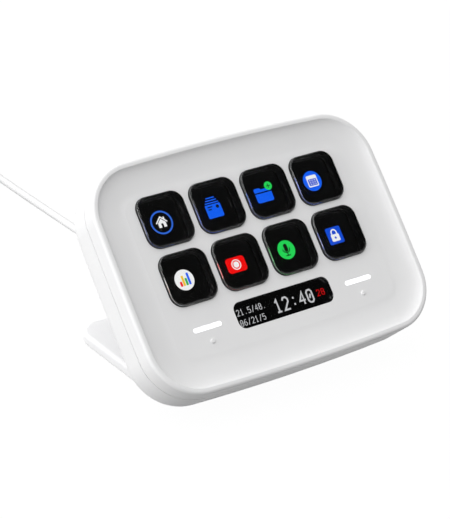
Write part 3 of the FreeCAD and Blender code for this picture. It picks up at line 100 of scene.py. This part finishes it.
# The cord's facts and its route, from the strain relief over the desk to the coil and the plug
CORD_DIAMETER = 2.9 * MM
CORD_START = (0.0, 0.0105, 0.0316)
STRETCH_POINTS = [
    (0.0, 0.02415, 0.01982), (0.0008, 0.0420, 0.0065), (0.0022, 0.0655, 0.0019), (0.0031, 0.0890, 0.0015),
    (0.0028, 0.1130, 0.0015), (0.0024, 0.1430, 0.0016), (0.0022, 0.1720, 0.00205),
]
TAIL_POINTS = [(-0.0392, 0.1790, 0.0121), (-0.0384, 0.1635, 0.0034), (-0.0384, 0.1525, 0.0034)]
COIL_MIDDLE = Vector((-18.5 * MM, 192.0 * MM, 0.0))
COIL_OUTER = 20.7 * MM
COIL_STEP = CORD_DIAMETER + 0.45 * MM
COIL_LIFT = 0.6 * MM
COIL_LAYERS = 4
LAYER_TURNS = 2.75
CLIMB_TURNS = 0.5
POINTS_PER_TURN = 24
# The order of the cord's spline, and the steps round it and from one of its points to the next
SPLINE_ORDER = 3
CORD_STEPS = 6


def coil_point(turned):
    """The coil's place after so many turns: spirals in and out, climbing a layer where they reverse."""
    layer, into = divmod(turned, LAYER_TURNS + CLIMB_TURNS)
    going_in = int(layer) % 2 == 0
    inner = COIL_OUTER - COIL_STEP * LAYER_TURNS
    if into <= LAYER_TURNS:
        radius = COIL_OUTER - COIL_STEP * into if going_in else inner + COIL_STEP * into
        height = layer * COIL_STEP
    else:
        through = (into - LAYER_TURNS) * 2 * math.pi
        side = COIL_STEP / (2 * math.pi) * math.sin(through)
        radius = inner - side if going_in else COIL_OUTER + side
        height = (layer + (1 - math.cos(through)) / 2) * COIL_STEP
    angle = turned * 2 * math.pi
    outward = Vector((math.cos(angle), math.sin(angle), 0.0))
    return COIL_MIDDLE + outward * radius + Vector((0.0, 0.0, COIL_LIFT + CORD_DIAMETER / 2 + height))


def make_cord(jacket):
    """The cord outside the housing as one soft tube, in place of its three solids."""
    turns = COIL_LAYERS * LAYER_TURNS + (COIL_LAYERS - 1) * CLIMB_TURNS
    count = round(turns * POINTS_PER_TURN)
    coil = [tuple(coil_point(index / POINTS_PER_TURN)) for index in range(count + 1)]
    points = [CORD_START] + STRETCH_POINTS + coil + TAIL_POINTS
    curve = bpy.data.curves.new("cord", "CURVE")
    curve.dimensions = "3D"
    curve.bevel_depth = CORD_DIAMETER / 2
    curve.bevel_resolution = CORD_STEPS
    curve.use_fill_caps = True
    spline = curve.splines.new("NURBS")
    spline.points.add(len(points) - 1)
    for control, place in zip(spline.points, points):
        control.co = (*place, 1.0)
    spline.order_u = SPLINE_ORDER
    spline.use_endpoint_u = True
    spline.resolution_u = CORD_STEPS
    curve.materials.append(jacket)
    cord = bpy.data.objects.new("cord", curve)
    bpy.context.scene.collection.objects.link(cord)
    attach(cord, "housing")
    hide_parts("cord_stretch", "cord_coil", "cord_tail")


# Materials
def linear(hex_colour, alpha=1.0):
    """An sRGB hex colour as the linear numbers that a shader takes."""
    channels = [int(hex_colour[index:index + 2], 16) / 255 for index in (1, 3, 5)]
    return tuple(c / 12.92 if c <= 0.04045 else ((c + 0.055) / 1.055) ** 2.4 for c in channels) + (alpha,)


def add(tree, kind, values=None, links=None, **settings):
    """Adds a node with its settings, its sockets' values and its links."""
    node = tree.nodes.new(kind)
    for name, setting in settings.items():
        setattr(node, name, setting)
    for socket, value in (values or {}).items():
        node.inputs[socket].default_value = value
    for socket, source in (links or {}).items():
        tree.links.new(source, node.inputs[socket])
    return node


def new_material(name):
    """A material with an empty tree, its output and the place of each point in metres."""
    material = bpy.data.materials.new(name)
    material.use_nodes = True
    tree = material.node_tree
    tree.nodes.clear()
    place = add(tree, "ShaderNodeTexCoord").outputs["Object"]
    return material, tree, place


def finish_material(tree, shader, normal=None):
    """Joins a shader, with its bump if it has one, to the material's output."""
    if normal is not None:
        tree.links.new(normal, shader.inputs["Normal"])
    add(tree, "ShaderNodeOutputMaterial", links={"Surface": shader.outputs[0]})


# How finely a colour's patches break up, and how many grains across a metal's patches are
PATCH_DETAIL = 3.0
METAL_PATCH_GRAINS = 12


def patches(tree, place, size_mm, detail):
    """A noise with patches of a size in millimetres."""
    settings = {"Scale": 1 / (size_mm * MM), "Detail": detail}
    return add(tree, "ShaderNodeTexNoise", settings, {"Vector": place}).outputs["Fac"]


def grain(tree, place, size_mm, depth_mm, detail=2.0):
    """A bump of an even grain: its size across and its depth, in millimetres."""
    height = patches(tree, place, size_mm, detail)
    bump = add(tree, "ShaderNodeBump", {"Strength": 1.0, "Distance": depth_mm * MM}, {"Height": height})
    return bump.outputs["Normal"]


def mottled(tree, place, first, second, size_mm):
    """A colour that wanders slightly between two hex values, over patches of a size in millimetres."""
    mix = add(tree, "ShaderNodeMix", {"A": linear(first), "B": linear(second)},
              {"Factor": patches(tree, place, size_mm, PATCH_DETAIL)}, data_type="RGBA")
    return mix.outputs["Result"]


def moulded(name, first, second, roughness, grain_mm, depth_mm, ior=1.5, patch_mm=14.0):
    """Moulded plastic, silicone or resin: a slightly uneven colour under a grain, both sized in millimetres."""
    material, tree, place = new_material(name)
    colour = mottled(tree, place, first, second, patch_mm)
    shader = add(tree, "ShaderNodeBsdfPrincipled", {"Roughness": roughness, "IOR": ior},
                 {"Base Color": colour})
    finish_material(tree, shader, grain(tree, place, grain_mm, depth_mm))
    return material


def metal(name, first, second, roughness, grain_mm, depth_mm):
    """Plated, drawn or rolled metal: its colour wanders with the plating over a fine grain."""
    material, tree, place = new_material(name)
    colour = mottled(tree, place, first, second, grain_mm * METAL_PATCH_GRAINS)
    shader = add(tree, "ShaderNodeBsdfPrincipled", {"Roughness": roughness, "Metallic": 1.0},
                 {"Base Color": colour})
    finish_material(tree, shader, grain(tree, place, grain_mm, depth_mm))
    return material


# A display's pixel, and how bright every other one is beside the rest
PIXEL = 0.12 * MM
DIM_PIXEL_SHARE = 0.93


def lit_film(name, colour):
    """Display pixels: a plain emitting colour over a black film, with the faint grid of the pixels."""
    material, tree, place = new_material(name)
    bright = linear(colour)
    dim = tuple(DIM_PIXEL_SHARE * channel for channel in bright[:3]) + (1.0,)
    grid = add(tree, "ShaderNodeTexChecker", {"Scale": 1 / PIXEL, "Color1": bright, "Color2": dim},
               {"Vector": place})
    shader = add(tree, "ShaderNodeBsdfPrincipled",
                 {"Base Color": linear("#050505"), "Roughness": 0.3, "Emission Strength": 1.0},
                 {"Emission Color": grid.outputs["Color"]})
    finish_material(tree, shader)
    return material


# Polished acrylic, as in the keycaps and the info bar's lens
ACRYLIC = {"Roughness": 0.03, "IOR": 1.49}
# A keycap is clear where its surface looks at least this much out of the housing's face or into it
SPRAY_LIMIT = 0.35
# How bright a light bar is, as it glows from inside
DIFFUSER_GLOW = 0.75


def make_materials():
    """Each finish by its short name, from its two colours, its roughness and its grain's size and depth."""
    made = {}
    # Moulded ABS with a spark-eroded matte skin: an even soft white that holds no sharp reflection
    made["shell"] = moulded("abs_spark_eroded_white", "#EDEDEE", "#F2F2F2", 0.48, 0.35, 0.004, ior=1.53)
    # Powder coat on bent steel: the same white, a little smoother, with a fine orange peel
    made["stand"] = moulded("powder_coat_white", "#EEEEEF", "#F3F3F4", 0.42, 0.9, 0.006, ior=1.52)
    # Polished cast acrylic with black sprayed sides: a deep black block with sharp lines on its rounded rim
    made["keycap"] = make_acrylic()
    # Smoked acrylic lens of the info bar, flush in its window
    made["lens"] = make_smoked_lens()
    # Silicone sheet: black and dull, it frames each key's picture
    made["silicone"] = moulded("silicone_black", "#0B0B0C", "#101011", 0.6, 0.2, 0.003, ior=1.41)
    # Black polyimide film of the contact sheet
    made["film"] = moulded("polyimide_black", "#0C0C0C", "#121110", 0.45, 0.4, 0.002, ior=1.7)
    # Display glass, dark when no pixel is lit
    made["display"] = moulded("display_glass_dark", "#030303", "#050506", 0.12, 6.0, 0.001, ior=1.52)
    # Light guide plate: pressed white acrylic
    made["light_guide"] = moulded("light_guide_acrylic", "#E6E6E2", "#EFEFEC", 0.25, 0.6, 0.002, ior=1.49)
    # Glass-filled nylon frame: near black, with a dry grain
    made["chassis"] = moulded("nylon_glass_filled_black", "#17171A", "#202023", 0.62, 0.5, 0.01, ior=1.53)
    # Amber polyimide of the flat flexes
    made["flex"] = moulded("polyimide_amber", "#A8661A", "#C07C26", 0.3, 2.0, 0.002, ior=1.7)
    # Milky polycarbonate diffuser, lit from behind
    made["diffuser"] = make_diffuser()
    # Copper foil, slightly tarnished
    made["copper"] = metal("copper_foil_rolled", "#C98A62", "#B5764F", 0.35, 0.3, 0.002)
    # Gold flash over spring bronze
    made["gold"] = metal("gold_flash_contact", "#D9B463", "#C9A04E", 0.25, 0.2, 0.001)
    # Fibreglass board under green solder mask
    made["board"] = moulded("solder_mask_green", "#0E4A2C", "#156038", 0.35, 1.2, 0.012, ior=1.55,
                            patch_mm=3.0)
    # Zinc plated steel of the screws and studs
    made["screw"] = metal("zinc_plated_steel", "#A9AAAD", "#98999D", 0.35, 0.4, 0.003)
    # Epoxy moulding compound of the chips
    made["chip"] = moulded("moulding_compound_black", "#141414", "#1C1C1C", 0.5, 0.25, 0.004, ior=1.55)
    # Lamp resin, pale yellow with its phosphor
    made["lamp"] = moulded("lamp_resin_phosphor", "#E8DFA8", "#F1EBC4", 0.3, 0.3, 0.002, ior=1.5)
    # Connector housings of cream liquid-crystal polymer
    made["connector"] = moulded("connector_polymer_cream", "#D8D0B8", "#E2DAC4", 0.45, 0.4, 0.004)
    # Rolled steel ballast, bare
    made["ballast"] = metal("rolled_steel_bare", "#7B7C80", "#68696D", 0.42, 0.7, 0.006)
    # Bright nickel over the magnets
    made["magnet"] = metal("nickel_plated_magnet", "#C8C5BF", "#B9B6B0", 0.16, 0.5, 0.001)
    # Grey silicone pad with a moulded micro texture that grips the desk
    made["pad"] = moulded("silicone_pad_grey", "#77777A", "#818184", 0.75, 0.5, 0.03, ior=1.41)
    # Thermoplastic elastomer jacket: soft white, duller than the housing
    made["cord"] = moulded("elastomer_jacket_white", "#E9E9EA", "#EFEFEF", 0.55, 0.5, 0.002, ior=1.48)
    # Satin moulded overmould of the plug
    made["plug"] = moulded("overmould_satin_white", "#EBEBEC", "#F1F1F1", 0.4, 0.3, 0.003)
    # Flat silicone tie
    made["tie"] = moulded("silicone_tie_white", "#DDDDDE", "#E6E6E6", 0.6, 0.4, 0.01, ior=1.41)
    # Deep-drawn stainless shell of the plug
    made["plug_shell"] = metal("stainless_drawn", "#C4C4C6", "#B4B4B7", 0.24, 0.25, 0.001)
    return made


def make_acrylic():
    """Clear acrylic whose side walls are sprayed black, while its top and underside stay clear."""
    material, tree, place = new_material("acrylic_polished_black_sides")
    facing = add(tree, "ShaderNodeNewGeometry").outputs["True Normal"]
    along = add(tree, "ShaderNodeVectorMath", {1: FACE_OUT}, {0: facing}, operation="DOT_PRODUCT")
    turned = add(tree, "ShaderNodeMath", links={0: along.outputs["Value"]}, operation="ABSOLUTE")
    clear = add(tree, "ShaderNodeMath", {1: SPRAY_LIMIT}, {0: turned.outputs[0]}, operation="GREATER_THAN")
    colour = add(tree, "ShaderNodeMix", {"A": linear("#050505"), "B": linear("#F7F8F8")},
                 {"Factor": clear.outputs[0]}, data_type="RGBA")
    shader = add(tree, "ShaderNodeBsdfPrincipled", ACRYLIC,
                 {"Base Color": colour.outputs["Result"], "Transmission Weight": clear.outputs[0]})
    finish_material(tree, shader, grain(tree, place, 5.0, 0.0015, detail=1.0))
    return material


def make_smoked_lens():
    material, tree, place = new_material("acrylic_smoked_lens")
    shader = add(tree, "ShaderNodeBsdfPrincipled",
                 {"Base Color": linear("#C8C9CC"), "Transmission Weight": 1.0, **ACRYLIC})
    finish_material(tree, shader, grain(tree, place, 5.0, 0.001, detail=1.0))
    return material


def make_diffuser():
    material, tree, place = new_material("polycarbonate_milky_diffuser")
    glow = mottled(tree, place, "#F6F8FF", "#FFFFFF", 4.0)
    shader = add(tree, "ShaderNodeBsdfPrincipled",
                 {"Base Color": linear("#F4F4F6"), "Roughness": 0.5, "IOR": 1.58,
                  "Emission Strength": DIFFUSER_GLOW}, {"Emission Color": glow})
    finish_material(tree, shader, grain(tree, place, 0.4, 0.002))
    return material


NODE_FINISHES = {
    "front_shell": "shell", "rear_shell": "shell", "stand": "stand", "key_membrane": "silicone",
    "contact_sheet": "film", "key_panel": "display", "key_backlight": "light_guide",
    "display_chassis": "chassis", "key_flex": "flex", "info_flex": "flex", "info_lens": "lens",
    "info_panel": "display", "light_bar_left": "diffuser", "light_bar_right": "diffuser",
    "touch_electrodes": "copper", "touch_contacts": "gold", "main_board": "board", "board_screws": "screw",
    "controller_chips": "chip", "board_leds": "lamp", "flex_connectors": "connector",
    "cord_header": "connector", "ballast_plate": "ballast", "case_screws": "screw",
    "chassis_screws": "screw", "strain_relief": "cord", "stand_studs": "screw", "stand_magnets": "magnet",
    "foot_pad": "pad", "cord_stretch": "cord", "cord_coil": "cord", "cord_tail": "cord",
    "inner_lead": "cord", "cord_tie": "tie", "plug_body": "plug", "plug_shell": "plug_shell",
}
KEYCAPS = [f"keycap_{row}_{column}" for row in ("top", "bottom") for column in (1, 2, 3, 4)]


def dress_nodes(made):
    finishes = dict(NODE_FINISHES)
    finishes.update((keycap, "keycap") for keycap in KEYCAPS)
    for node, finish in finishes.items():
        for material_slot in NODES[node].material_slots:
            material_slot.material = made[finish]


# Drawings on the displays: thin lit shapes on the panel, each layer a little above the one below
FILM = 0.02
ARC_STEPS = 48
CORNER_STEPS = 8
# Corners that agree to this many decimals of a millimetre are one
CORNER_DECIMALS = 5
# A line's corner reaches out to at most this many half-widths
MITRE_LIMIT = 2.5


class Drawing:
    """Flat shapes in millimetres, gathered into one mesh of thin slabs."""

    def __init__(self, name):
        self.mesh = bmesh.new()
        self.name = name
        self.materials = []
        self.index = 0
        self.layer = 0

    def use(self, material):
        """Starts a new layer in this colour, above the layers before it."""
        if material not in self.materials:
            self.materials.append(material)
        self.index = self.materials.index(material)
        self.layer += 1

    def slab(self, faces):
        """Thickens flat faces, each a list of points, into one slab on the current layer."""
        corners = {}
        flat = []
        for face in faces:
            ring = []
            for x, y in face:
                key = (round(x, CORNER_DECIMALS), round(y, CORNER_DECIMALS))
                if key not in corners:
                    corners[key] = self.mesh.verts.new((x, y, FILM * (self.layer - 1)))
                ring.append(corners[key])
            flat.append(self.mesh.faces.new(ring))
        raised = bmesh.ops.extrude_face_region(self.mesh, geom=flat, use_keep_orig=True)["geom"]
        lifted = [item for item in raised if isinstance(item, bmesh.types.BMVert)]
        bmesh.ops.translate(self.mesh, verts=lifted, vec=(0, 0, FILM))
        touched = {face for vertex in list(corners.values()) + lifted for face in vertex.link_faces}
        for face in touched:
            face.material_index = self.index

    def plate(self, points):
        self.slab([points])

    def disc(self, x, y, radius):
        self.plate(arc_points(x, y, radius, 0, 360)[:-1])

    def ring(self, x, y, radius, width):
        inner = arc_points(x, y, radius - width, 0, 360)
        outer = arc_points(x, y, radius, 0, 360)
        self.slab([(inner[i], outer[i], outer[i + 1], inner[i + 1]) for i in range(ARC_STEPS)])

    def box(self, x, y, width, height, round_by=0.0):
        """A rectangle with its middle at x, y and round corners."""
        if not round_by:
            half_w, half_h = width / 2, height / 2
            self.plate([(x + half_w, y + half_h), (x - half_w, y + half_h),
                        (x - half_w, y - half_h), (x + half_w, y - half_h)])
            return
        reach_x, reach_y = width / 2 - round_by, height / 2 - round_by
        points = []
        for quarter, (side_x, side_y) in enumerate(((1, 1), (-1, 1), (-1, -1), (1, -1))):
            points += arc_points(x + side_x * reach_x, y + side_y * reach_y, round_by,
                                 90 * quarter, 90 * quarter + 90, steps=CORNER_STEPS)
        self.plate(points)

    def line(self, points, width):
        """A line of even width along points, its corners mitred."""
        sides = [offset_corner(points, index, width / 2) for index in range(len(points))]
        self.slab([(first[0], first[1], second[1], second[0]) for first, second in zip(sides, sides[1:])])

    def place(self, body, material_slot, matrix):
        """Turns the drawing into a piece that rides on a body."""
        bmesh.ops.recalc_face_normals(self.mesh, faces=self.mesh.faces)
        data = bpy.data.meshes.new(self.name)
        self.mesh.to_mesh(data)
        self.mesh.free()
        for material in self.materials:
            data.materials.append(material)
        data.transform(matrix @ Matrix.Scale(MM, 4))
        piece = bpy.data.objects.new(self.name, data)
        bpy.context.scene.collection.objects.link(piece)
        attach(piece, body)


def arc_points(x, y, radius, start, end, steps=ARC_STEPS):
    """Points along an arc about x, y, from one angle to another in degrees."""
    points = []
    for step in range(steps + 1):
        angle = math.radians(start + (end - start) * step / steps)
        points.append((x + radius * math.cos(angle), y + radius * math.sin(angle)))
    return points


def offset_corner(points, index, half_width):
    """The two sides of a line at one of its points, mitred up to the limit."""
    here = Vector(points[index])
    steps = []
    if index > 0:
        steps.append((here - Vector(points[index - 1])).normalized())
    if index < len(points) - 1:
        steps.append((Vector(points[index + 1]) - here).normalized())
    incoming, outgoing = steps[0], steps[-1]
    across = Vector((-(incoming + outgoing).y, (incoming + outgoing).x)).normalized()
    stretch = 1 / max(1 / MITRE_LIMIT, across.dot(Vector((-incoming.y, incoming.x))))
    side = across * half_width * stretch
    return tuple(here - side), tuple(here + side)


def draw_house(film):
    drawing = Drawing("picture_house")
    drawing.use(film["ring_blue"])
    drawing.ring(0, 0, 4.2, 0.6)
    drawing.use(film["white"])
    drawing.line([(-2.15, -0.1), (0, 2.0), (2.15, -0.1)], 0.42)
    drawing.box(1.25, 1.35, 0.5, 0.95)
    drawing.plate([(-1.5, -0.1), (-1.5, -1.75), (-0.42, -1.75), (-0.42, -0.35), (0.42, -0.35), (0.42, -1.75),
                   (1.5, -1.75), (1.5, -0.1), (0, 1.35)])
    return drawing


def draw_card_file(film):
    drawing = Drawing("picture_card_file")
    drawing.use(film["blue"])
    drawing.box(0, -0.95, 6.2, 4.9, 0.5)
    drawing.line([(-2.7, 2.05), (2.7, 2.05)], 0.4)
    drawing.line([(-2.2, 2.95), (2.2, 2.95)], 0.4)
    drawing.line([(-1.7, 3.85), (1.7, 3.85)], 0.4)
    drawing.use(film["black"])
    drawing.disc(1.7, 0.35, 0.62)
    drawing.line([(-2.2, 0.65), (-0.3, 0.65)], 0.42)
    drawing.line([(-2.2, -0.25), (-0.9, -0.25)], 0.42)
    return drawing


def draw_folder(film):
    drawing = Drawing("picture_folder")
    drawing.use(film["blue"])
    drawing.plate([(-3.4, 1.0), (-3.4, 2.3), (-3.1, 2.6), (-1.1, 2.6), (-0.5, 2.0), (2.9, 2.0), (3.3, 1.6),
                   (3.3, 1.0)])
    drawing.plate([(-3.4, 0.55), (-3.4, -2.3), (-2.9, -2.8), (2.9, -2.8), (3.4, -2.3), (3.4, 0.55)])
    drawing.use(film["green"])
    drawing.disc(2.9, 2.6, 1.55)
    drawing.use(film["black"])
    drawing.line([(2.1, 2.6), (3.7, 2.6)], 0.3)
    drawing.line([(2.9, 1.8), (2.9, 3.4)], 0.3)
    return drawing


def draw_calendar(film):
    drawing = Drawing("picture_calendar")
    drawing.use(film["blue"])
    drawing.disc(0, 0, 3.75)
    drawing.use(film["white"])
    drawing.box(0, 0, 4.3, 4.3, 0.5)
    drawing.use(film["deep_blue"])
    drawing.box(0, -0.45, 3.5, 2.5, 0.2)
    drawing.use(film["white"])
    for row in range(3):
        for column in range(3):
            drawing.box(-1.0 + column, 0.3 - row * 0.75, 0.45, 0.35)
    return drawing


def draw_chart(film):
    drawing = Drawing("picture_chart")
    drawing.use(film["white"])
    drawing.disc(0, 0, 3.65)
    for x, height, colour in ((-1.65, 1.7, "red"), (-0.55, 3.6, "yellow"), (0.55, 2.5, "chart_green"),
                              (1.65, 4.2, "blue")):
        drawing.use(film[colour])
        drawing.box(x, -2.0 + height / 2, 0.85, height, 0.2)
        drawing.layer -= 1
    return drawing


def draw_record(film):
    drawing = Drawing("picture_record")
    drawing.use(film["red"])
    drawing.box(0, 0, 7.6, 5.4, 1.2)
    drawing.use(film["white"])
    drawing.disc(0, 0, 1.1)
    drawing.ring(0, 0, 1.85, 0.34)
    return drawing


def draw_microphone(film):
    drawing = Drawing("picture_microphone")
    drawing.use(film["green"])
    drawing.disc(0, 0, 3.45)
    drawing.use(film["black"])
    drawing.box(0, 0.75, 1.5, 2.9, 0.74)
    drawing.line(arc_points(0, 0.45, 1.45, 180, 360, steps=16), 0.36)
    drawing.line([(0, -1.0), (0, -2.05)], 0.36)
    drawing.line([(-1.0, -2.1), (1.0, -2.1)], 0.36)
    return drawing


def draw_padlock(film):
    drawing = Drawing("picture_padlock")
    drawing.use(film["deep_blue"])
    drawing.box(0, 0, 6.2, 6.2, 0.6)
    drawing.use(film["white"])
    drawing.box(0, -0.85, 3.4, 2.6, 0.35)
    drawing.line([(-1.05, 0.3), (-1.05, 1.1)] + arc_points(0, 1.1, 1.05, 180, 0, steps=12)[1:-1]
                 + [(1.05, 1.1), (1.05, 0.3)], 0.5)
    drawing.use(film["deep_blue"])
    drawing.disc(0, -0.85, 0.42)
    return drawing


# The pictures are drawn in millimetres and then shrunk by this, as the photograph shows them
PICTURE_SCALE = 0.94
KEY_PICTURES = {
    "keycap_top_1": draw_house, "keycap_top_2": draw_card_file, "keycap_top_3": draw_folder,
    "keycap_top_4": draw_calendar, "keycap_bottom_1": draw_chart, "keycap_bottom_2": draw_record,
    "keycap_bottom_3": draw_microphone, "keycap_bottom_4": draw_padlock,
}

# Strokes of the clock's figures, on a cell four across and six high. Only the figures that it shows are here
FIGURE_CELL = (4.0, 6.0)
FIGURE_STROKES = {
    "0": [[(1, 0), (3, 0), (4, 1), (4, 5), (3, 6), (1, 6), (0, 5), (0, 1), (1, 0)], [(1.5, 2), (2.5, 4)]],
    "1": [[(0.6, 4.7), (2, 6), (2, 0)], [(0.4, 0), (3.6, 0)]],
    "2": [[(0, 4.8), (1, 6), (3, 6), (4, 5), (4, 3.8), (0, 0), (4, 0)]],
    "4": [[(3, 0), (3, 6), (0, 2), (4.3, 2)]],
    "5": [[(4, 6), (0.2, 6), (0, 3.4), (3, 3.6), (4, 2.6), (4, 1), (3, 0), (1, 0), (0, 1)]],
    "6": [[(3.6, 6), (1.6, 5.6), (0, 3.5), (0, 1), (1, 0), (3, 0), (4, 1), (4, 2.4), (3, 3.4), (0, 3.4)]],
    "8": [[(1, 0), (3, 0), (4, 1), (4, 2.3), (3, 3.2), (4, 4.1), (4, 5), (3, 6), (1, 6), (0, 5), (0, 4.1),
           (1, 3.2), (0, 2.3), (0, 1), (1, 0)], [(1, 3.2), (3, 3.2)]],
    "/": [[(0.4, -0.4), (3.6, 6.4)]],
    ":": [[(2, 1.0), (2, 1.9)], [(2, 4.1), (2, 5.0)]],
    ".": [[(2, 0), (2, 0.8)]],
}


def write_figures(drawing, text, first, middle, height, width, pitch, weight):
    """Draws figures one beside another: the first one's middle, their size, pitch and line weight, in mm."""
    for position, figure in enumerate(text):
        left, low = first + position * pitch - width / 2, middle - height / 2
        for stroke in FIGURE_STROKES[figure]:
            drawing.line([(left + x / FIGURE_CELL[0] * width, low + y / FIGURE_CELL[1] * height)
                          for x, y in stroke], weight)


def make_pictures():
    colours = {
        "blue": "#0A64FF", "ring_blue": "#2F6BE0", "deep_blue": "#0A4FE0", "green": "#22E05A",
        "chart_green": "#2FB457", "red": "#FF0000", "yellow": "#FFD21E", "white": "#FFFFFF",
        "black": "#060606",
    }
    film = {name: lit_film(f"lit_{name}", colour) for name, colour in colours.items()}
    panel_top = face_span("key_panel")[2][1]
    for keycap, draw in KEY_PICTURES.items():
        u, v, _ = face_middle(keycap)
        draw(film).place("housing", "display_glass",
                         face_matrix(u, v, panel_top) @ Matrix.Scale(PICTURE_SCALE, 4))
    make_clock(film)


# The info bar's clock, in millimetres from its panel's middle. Each row holds a colour, the figures, the first
# one's place across and up, their height and width, their pitch and the weight of their strokes
CLOCK_ROWS = [
    ("white", "12:40", -1.95, -0.35, 4.1, 2.0, 3.18, 0.56),
    ("white", "21.5/48.", -16.7, 1.25, 1.9, 0.9, 1.42, 0.2),
    ("white", "06/21/5", -16.7, -2.25, 1.9, 0.9, 1.42, 0.2),
    ("red", "28", 14.2, -0.2, 1.95, 1.1, 1.75, 0.26),
]


def make_clock(film):
    """The clock's time, large, its seconds in red and two short lines of figures, all on one layer."""
    drawing = Drawing("picture_clock")
    for colour, *figures in CLOCK_ROWS:
        drawing.layer = 0
        drawing.use(film[colour])
        write_figures(drawing, *figures)
    (u_low, u_high), (v_low, v_high), (_, panel_top) = face_span("info_panel")
    matrix = face_matrix((u_low + u_high) / 2, (v_low + v_high) / 2, panel_top)
    drawing.place("housing", "display_glass", matrix)


# Floor, light and background
FLOOR_HALF = 3.0
# How much of the floor's look is plain white light, how strong that is, and the paper's own grey
FLOOR_WHITE_SHARE = 0.88
FLOOR_WHITE = 1.11
PAPER_GREY = "#8C8C8C"
# Mirrored in the key tops, the studio is white up to the first height and dim above the second
MIRROR_HEIGHTS = (0.25, 0.6)
MIRROR_DIM = 0.03
# The sky's light: its strength square to the slope, and the slope along which it grows
AMBIENT = 0.50
SKY_SLOPE = Vector((-0.36, 0.50, 0.70))
# Two soft lamps: each one's place, size across and watts
LAMPS = [
    ("side_lamp", Vector((-1.14, 0.14, 0.35)), 0.7, 4.8),
    ("face_lamp", Vector((-0.30, -0.54, 1.03)), 0.5, 2.5),
]
LAMP_AIM = Vector((0.0, -0.02, 0.04))


def make_floor():
    mesh = bpy.data.meshes.new("floor")
    corners = [(-FLOOR_HALF, -FLOOR_HALF, 0), (FLOOR_HALF, -FLOOR_HALF, 0),
               (FLOOR_HALF, FLOOR_HALF, 0), (-FLOOR_HALF, FLOOR_HALF, 0)]
    mesh.from_pydata(corners, [], [(0, 1, 2, 3)])
    floor = bpy.data.objects.new("floor", mesh)
    bpy.context.scene.collection.objects.link(floor)
    floor.data.materials.append(make_floor_finish())


def make_floor_finish():
    """Pale studio paper: white to the eye and in reflections, with a trace of the object's shadow."""
    material, tree, _ = new_material("studio_paper_white")
    path = add(tree, "ShaderNodeLightPath").outputs
    direct = add(tree, "ShaderNodeMath", links={0: path["Is Camera Ray"], 1: path["Is Glossy Ray"]},
                 operation="MAXIMUM")
    seen = add(tree, "ShaderNodeMath", links={0: direct.outputs[0], 1: path["Is Transmission Ray"]},
               operation="MAXIMUM")
    share = add(tree, "ShaderNodeMath", {1: FLOOR_WHITE_SHARE}, {0: seen.outputs[0]}, operation="MULTIPLY")
    paper = add(tree, "ShaderNodeBsdfDiffuse", {"Color": linear(PAPER_GREY)})
    white = add(tree, "ShaderNodeEmission", {"Color": (1, 1, 1, 1), "Strength": FLOOR_WHITE})
    mix = add(tree, "ShaderNodeMixShader",
              links={0: share.outputs[0], 1: paper.outputs[0], 2: white.outputs[0]})
    finish_material(tree, mix)
    return material


def make_world():
    """A studio lit from above and the left, which mirrors as white low down and dim overhead."""
    world = bpy.data.worlds.new("studio")
    world.use_nodes = True
    bpy.context.scene.world = world
    tree = world.node_tree
    tree.nodes.clear()
    direction = add(tree, "ShaderNodeTexCoord").outputs["Generated"]
    height = add(tree, "ShaderNodeSeparateXYZ", links={0: direction}).outputs["Z"]
    low, high = MIRROR_HEIGHTS
    ceiling = add(tree, "ShaderNodeMapRange",
                  {"From Min": low, "From Max": high, "To Min": 1.0, "To Max": MIRROR_DIM},
                  {"Value": height}, interpolation_type="SMOOTHSTEP")
    slope = add(tree, "ShaderNodeVectorMath", {1: SKY_SLOPE}, {0: direction}, operation="DOT_PRODUCT")
    sloped = add(tree, "ShaderNodeMath", {1: AMBIENT}, {0: slope.outputs["Value"]}, operation="ADD")
    sky = add(tree, "ShaderNodeMath", {1: 0.0}, {0: sloped.outputs[0]}, operation="MAXIMUM")
    path = add(tree, "ShaderNodeLightPath").outputs
    mirrored = add(tree, "ShaderNodeMath", links={0: path["Is Glossy Ray"], 1: path["Is Transmission Ray"]},
                   operation="MAXIMUM")
    base = add(tree, "ShaderNodeMix", links={"Factor": mirrored.outputs[0], "A": sky.outputs[0],
                                             "B": ceiling.outputs[0]}, data_type="FLOAT")
    strength = add(tree, "ShaderNodeMix", {"B": 1.0},
                   {"Factor": path["Is Camera Ray"], "A": base.outputs["Result"]}, data_type="FLOAT")
    background = add(tree, "ShaderNodeBackground", {"Color": (1, 1, 1, 1)},
                     {"Strength": strength.outputs["Result"]})
    add(tree, "ShaderNodeOutputWorld", links={"Surface": background.outputs[0]})


def make_lamps():
    for name, place, size, watts in LAMPS:
        data = bpy.data.lights.new(name, "AREA")
        data.shape = "DISK"
        data.size = size
        data.energy = watts
        lamp = bpy.data.objects.new(name, data)
        bpy.context.scene.collection.objects.link(lamp)
        lamp.location = place
        lamp.rotation_euler = (LAMP_AIM - place).to_track_quat("-Z", "Y").to_euler()


make_camera()
finishes = make_materials()
make_cord(finishes["cord"])
dress_nodes(finishes)
make_pictures()
make_floor()
make_world()
make_lamps()
bpy.context.scene.view_settings.view_transform = "Standard"
